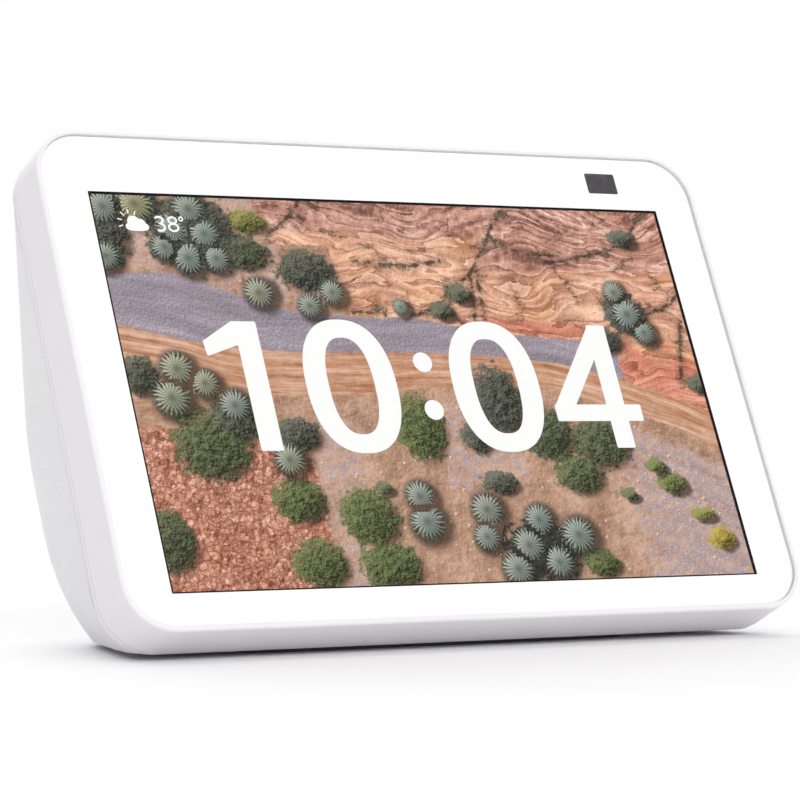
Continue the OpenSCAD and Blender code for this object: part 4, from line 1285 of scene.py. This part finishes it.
def dome_rings(inset, steps=44, edge_roll=False):
    """Rings of the dome from the screen's side to its far end."""
    half_w, half_h, radius, middle, depth = dome_section(0.0, inset)
    rim = [(x, depth, v + middle) for x, v in outline(half_w, half_h, radius, 14, 14)]
    rings = []
    roll = []
    lead = [(0.95, 0.08), (0.5, 0.12), (0.22, 0.3), (0.08, 0.6)] if edge_roll else []
    for extra, deep in lead:
        half_w, half_h, radius, middle, depth = dome_section(0.0, inset + extra)
        roll.append([(x, depth + deep, v + middle) for x, v in outline(half_w, half_h, radius, 14, 14)])
    first = 0.012 if edge_roll else 0.0
    for i in range(steps + 1):
        share = min(math.sin(math.pi / 2 * (first + (1 - first) * i / steps)), 0.9998)
        half_w, half_h, radius, middle, depth = dome_section(share, inset)
        rings.append([(x, depth, v + middle) for x, v in outline(half_w, half_h, radius, 14, 14)])
    return roll + pulled_tight(rings, rim)


def port_prism(extra, near, far, steps=8):
    """The inlet's recess as a prism running back."""
    ring = outline(15.5 + extra, 8.5 + extra, 5 + extra, steps)
    return loft([[(x, y, PORT_HEIGHT + z) for x, z in ring] for y in (near, far)])


class FabricOperator(bpy.types.Operator):
    """Stretched knit sleeve over the rear body"""

    bl_idname = "smart_display.fabric"
    bl_label = "Fabric cover"

    def execute(self, context):
        inset = 0.35
        rings = dome_rings(inset, edge_roll=True)
        points, faces = loft(rings, caps=False)
        last = (len(rings) - 1) * len(rings[0])
        faces.append(tuple(range(last, last + len(rings[0]))))
        obj = add_object("fabric_sleeve", (points, faces))
        flat = self.laid_flat(rings)
        tree = KDTree(len(points))
        for i, point in enumerate(points):
            tree.insert(on_panel(*point), i)
        tree.balance()
        knit = []
        for vertex in obj.data.vertices:
            knit += flat[tree.find(vertex.co)[1]]
        obj.data.attributes.new("knit", "FLOAT_VECTOR", "POINT").data.foreach_set("vector", knit)
        work = bmesh.new()
        work.from_mesh(obj.data)
        everything = work.verts[:] + work.edges[:] + work.faces[:]
        bmesh.ops.bisect_plane(work, geom=everything, plane_co=(0, 0, 1.6 * MM), plane_no=(0, 0, -1),
                               clear_outer=True)
        work.to_mesh(obj.data)
        work.free()
        thick = obj.modifiers.new("thick", "SOLIDIFY")
        thick.thickness = 1.0 * MM
        thick.offset = -1
        thick.use_even_offset = True
        settle(obj)
        carve(obj, port_prism(1.45, 41.5, 80), on_table)
        for vertex, kept in zip(obj.data.vertices, obj.data.attributes["knit"].data):
            if kept.vector.length < 1e-6:
                near, i, _ = tree.find(vertex.co)
                step = (vertex.co - near) / MM
                kept.vector = Vector(flat[i]) + Vector((step.dot(ACROSS), step.dot(UP), 0))
        hand_over(obj, "fabric_grey", replaces=["fabric_cover"], angle=50)
        return {"FINISHED"}

    @staticmethod
    def laid_flat(rings):
        """Where each point lies once the cloth is laid out flat from the middle of the dome's far end."""
        run = [0.0] * len(rings[0])
        after = None
        rows = []
        for ring in reversed(rings):
            middle = sum((Vector(point) for point in ring), Vector()) / len(ring)
            row = []
            for j, point in enumerate(ring):
                heading = Vector(point) - middle
                run[j] += (Vector(point) - Vector(after[j])).length if after else heading.length
                row.append((heading.x / heading.length * run[j], heading.z / heading.length * run[j], 0.0))
            after = ring
            rows = row + rows
        return rows


class RearOperator(bpy.types.Operator):
    """Power inlet with its recess, and the rubber foot"""

    bl_idname = "smart_display.rear"
    bl_label = "Inlet and foot"

    def execute(self, context):
        plate = add_object("inlet_plate", port_prism(1.3, PORT_FLOOR - 1.5, 80), on_table)
        carve(plate, port_prism(0.0, PORT_FLOOR, 90), on_table)
        carve(plate, spun([(0.02, 30), (3.95, 30), (3.95, 50), (0.02, 50)], (0, PORT_HEIGHT)), on_table)
        carve(plate, loft(dome_rings(0.55)), on_panel, "INTERSECT")
        round_edges(plate, 0.3, 3, 45)
        white = moulded("inlet_white_satin", settings()[1].frame_white, 0.45, grain=0.4, relief=0.03)
        hand_over(plate, "housing_grey", replaces=["port_plate"], material=white)

        bore = [(2.9, 29.2), (2.9, 39.7), (3.2, 40.0), (3.7, 40.0), (3.9, 39.8), (3.9, 29.2)]
        body = bevelled((-5, 24, PORT_HEIGHT - 6), (5, 29.3, PORT_HEIGHT + 6), 0.4)
        sleeve = bevelled((-5, 29.2, PORT_HEIGHT - 6), (5, 38.4, PORT_HEIGHT + 6), 0.4)
        jack = add_object("inlet_socket", joined(body, sleeve), on_table)
        carve(jack, spun([(0.02, 29.0), (3.4, 29.0), (3.4, 45), (0.02, 45)], (0, PORT_HEIGHT)), on_table)
        take_in(jack, add_object("ring", spun(bore, (0, PORT_HEIGHT)), on_table))
        hand_over(jack, "jack_black", replaces=["power_jack"])

        rings = []
        for radius, y in ((1.05, 29.05), (1.05, 39.0), (0.95, 39.3), (0.6, 39.47), (0.05, 39.5)):
            rings.append([(a, y, PORT_HEIGHT + b) for a, b in circle(radius, 24)])
        pin = add_object("inlet_pin", loft(rings), on_table)
        hand_over(pin, "pin_brass", replaces=["jack_pin"])

        rings = []
        for inset, z in ((0, 0.25), (0.12, 0.06), (0.35, 0), (5.65, 0), (5.88, 0.06), (6, 0.25),
                         (6, 0.85), (5.8, 0.99), (0.2, 0.99), (0, 0.85)):
            rings.append([(x, y, z) for x, y in outline(62 - inset, 30 - inset, 18 - inset, 16)])
        foot = add_object("rubber_ring", loft(rings, around=True), on_table)
        hand_over(foot, "foot_rubber", replaces=["rubber_foot"])
        return {"FINISHED"}


class InnerOperator(bpy.types.Operator):
    """Finishes for the pieces that keep their CAD shape"""

    bl_idname = "smart_display.inner"
    bl_label = "Inner pieces"

    def execute(self, context):
        slots = {part["node"]: part["material_slot"] for part in frame["record"]["subparts"]}
        for name, obj in frame["nodes"].items():
            if obj.hide_render:
                continue
            obj.data.materials.clear()
            obj.data.materials.append(finish_for(slots[name]))
        return {"FINISHED"}


OPERATORS = (
    StageOperator, FrontFrameOperator, GlassOperator, PictureOperator, ButtonsOperator, ShutterOperator,
    TrimOperator, FabricOperator, RearOperator, InnerOperator,
)


class DisplayPanel(bpy.types.Panel):
    """Lists the steps that build the display"""

    bl_idname = "VIEW3D_PT_smart_display"
    bl_label = "Smart display"
    bl_space_type = "VIEW_3D"
    bl_region_type = "UI"
    bl_category = "Smart display"

    def draw(self, context):
        for step in OPERATORS:
            self.layout.operator(step.bl_idname)
        for group in (context.scene.display_sizes, context.scene.display_colours):
            for name in group.bl_rna.properties.keys():
                if name not in ("rna_type", "name"):
                    self.layout.prop(group, name)


CLASSES = (DisplaySizes, DisplayColours, *OPERATORS, DisplayPanel)


def register():
    """Adds the classes and the scene's settings."""
    for item in CLASSES:
        bpy.utils.register_class(item)
    bpy.types.Scene.display_sizes = bpy.props.PointerProperty(type=DisplaySizes)
    bpy.types.Scene.display_colours = bpy.props.PointerProperty(type=DisplayColours)


def unregister():
    """Takes them away again."""
    del bpy.types.Scene.display_colours
    del bpy.types.Scene.display_sizes
    for item in reversed(CLASSES):
        bpy.utils.unregister_class(item)


def main():
    """Builds the whole display."""
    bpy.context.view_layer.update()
    register()
    for step in OPERATORS:
        category, name = step.bl_idname.split(".")
        getattr(getattr(bpy.ops, category), name)()


if __name__ == "__main__":
    main()
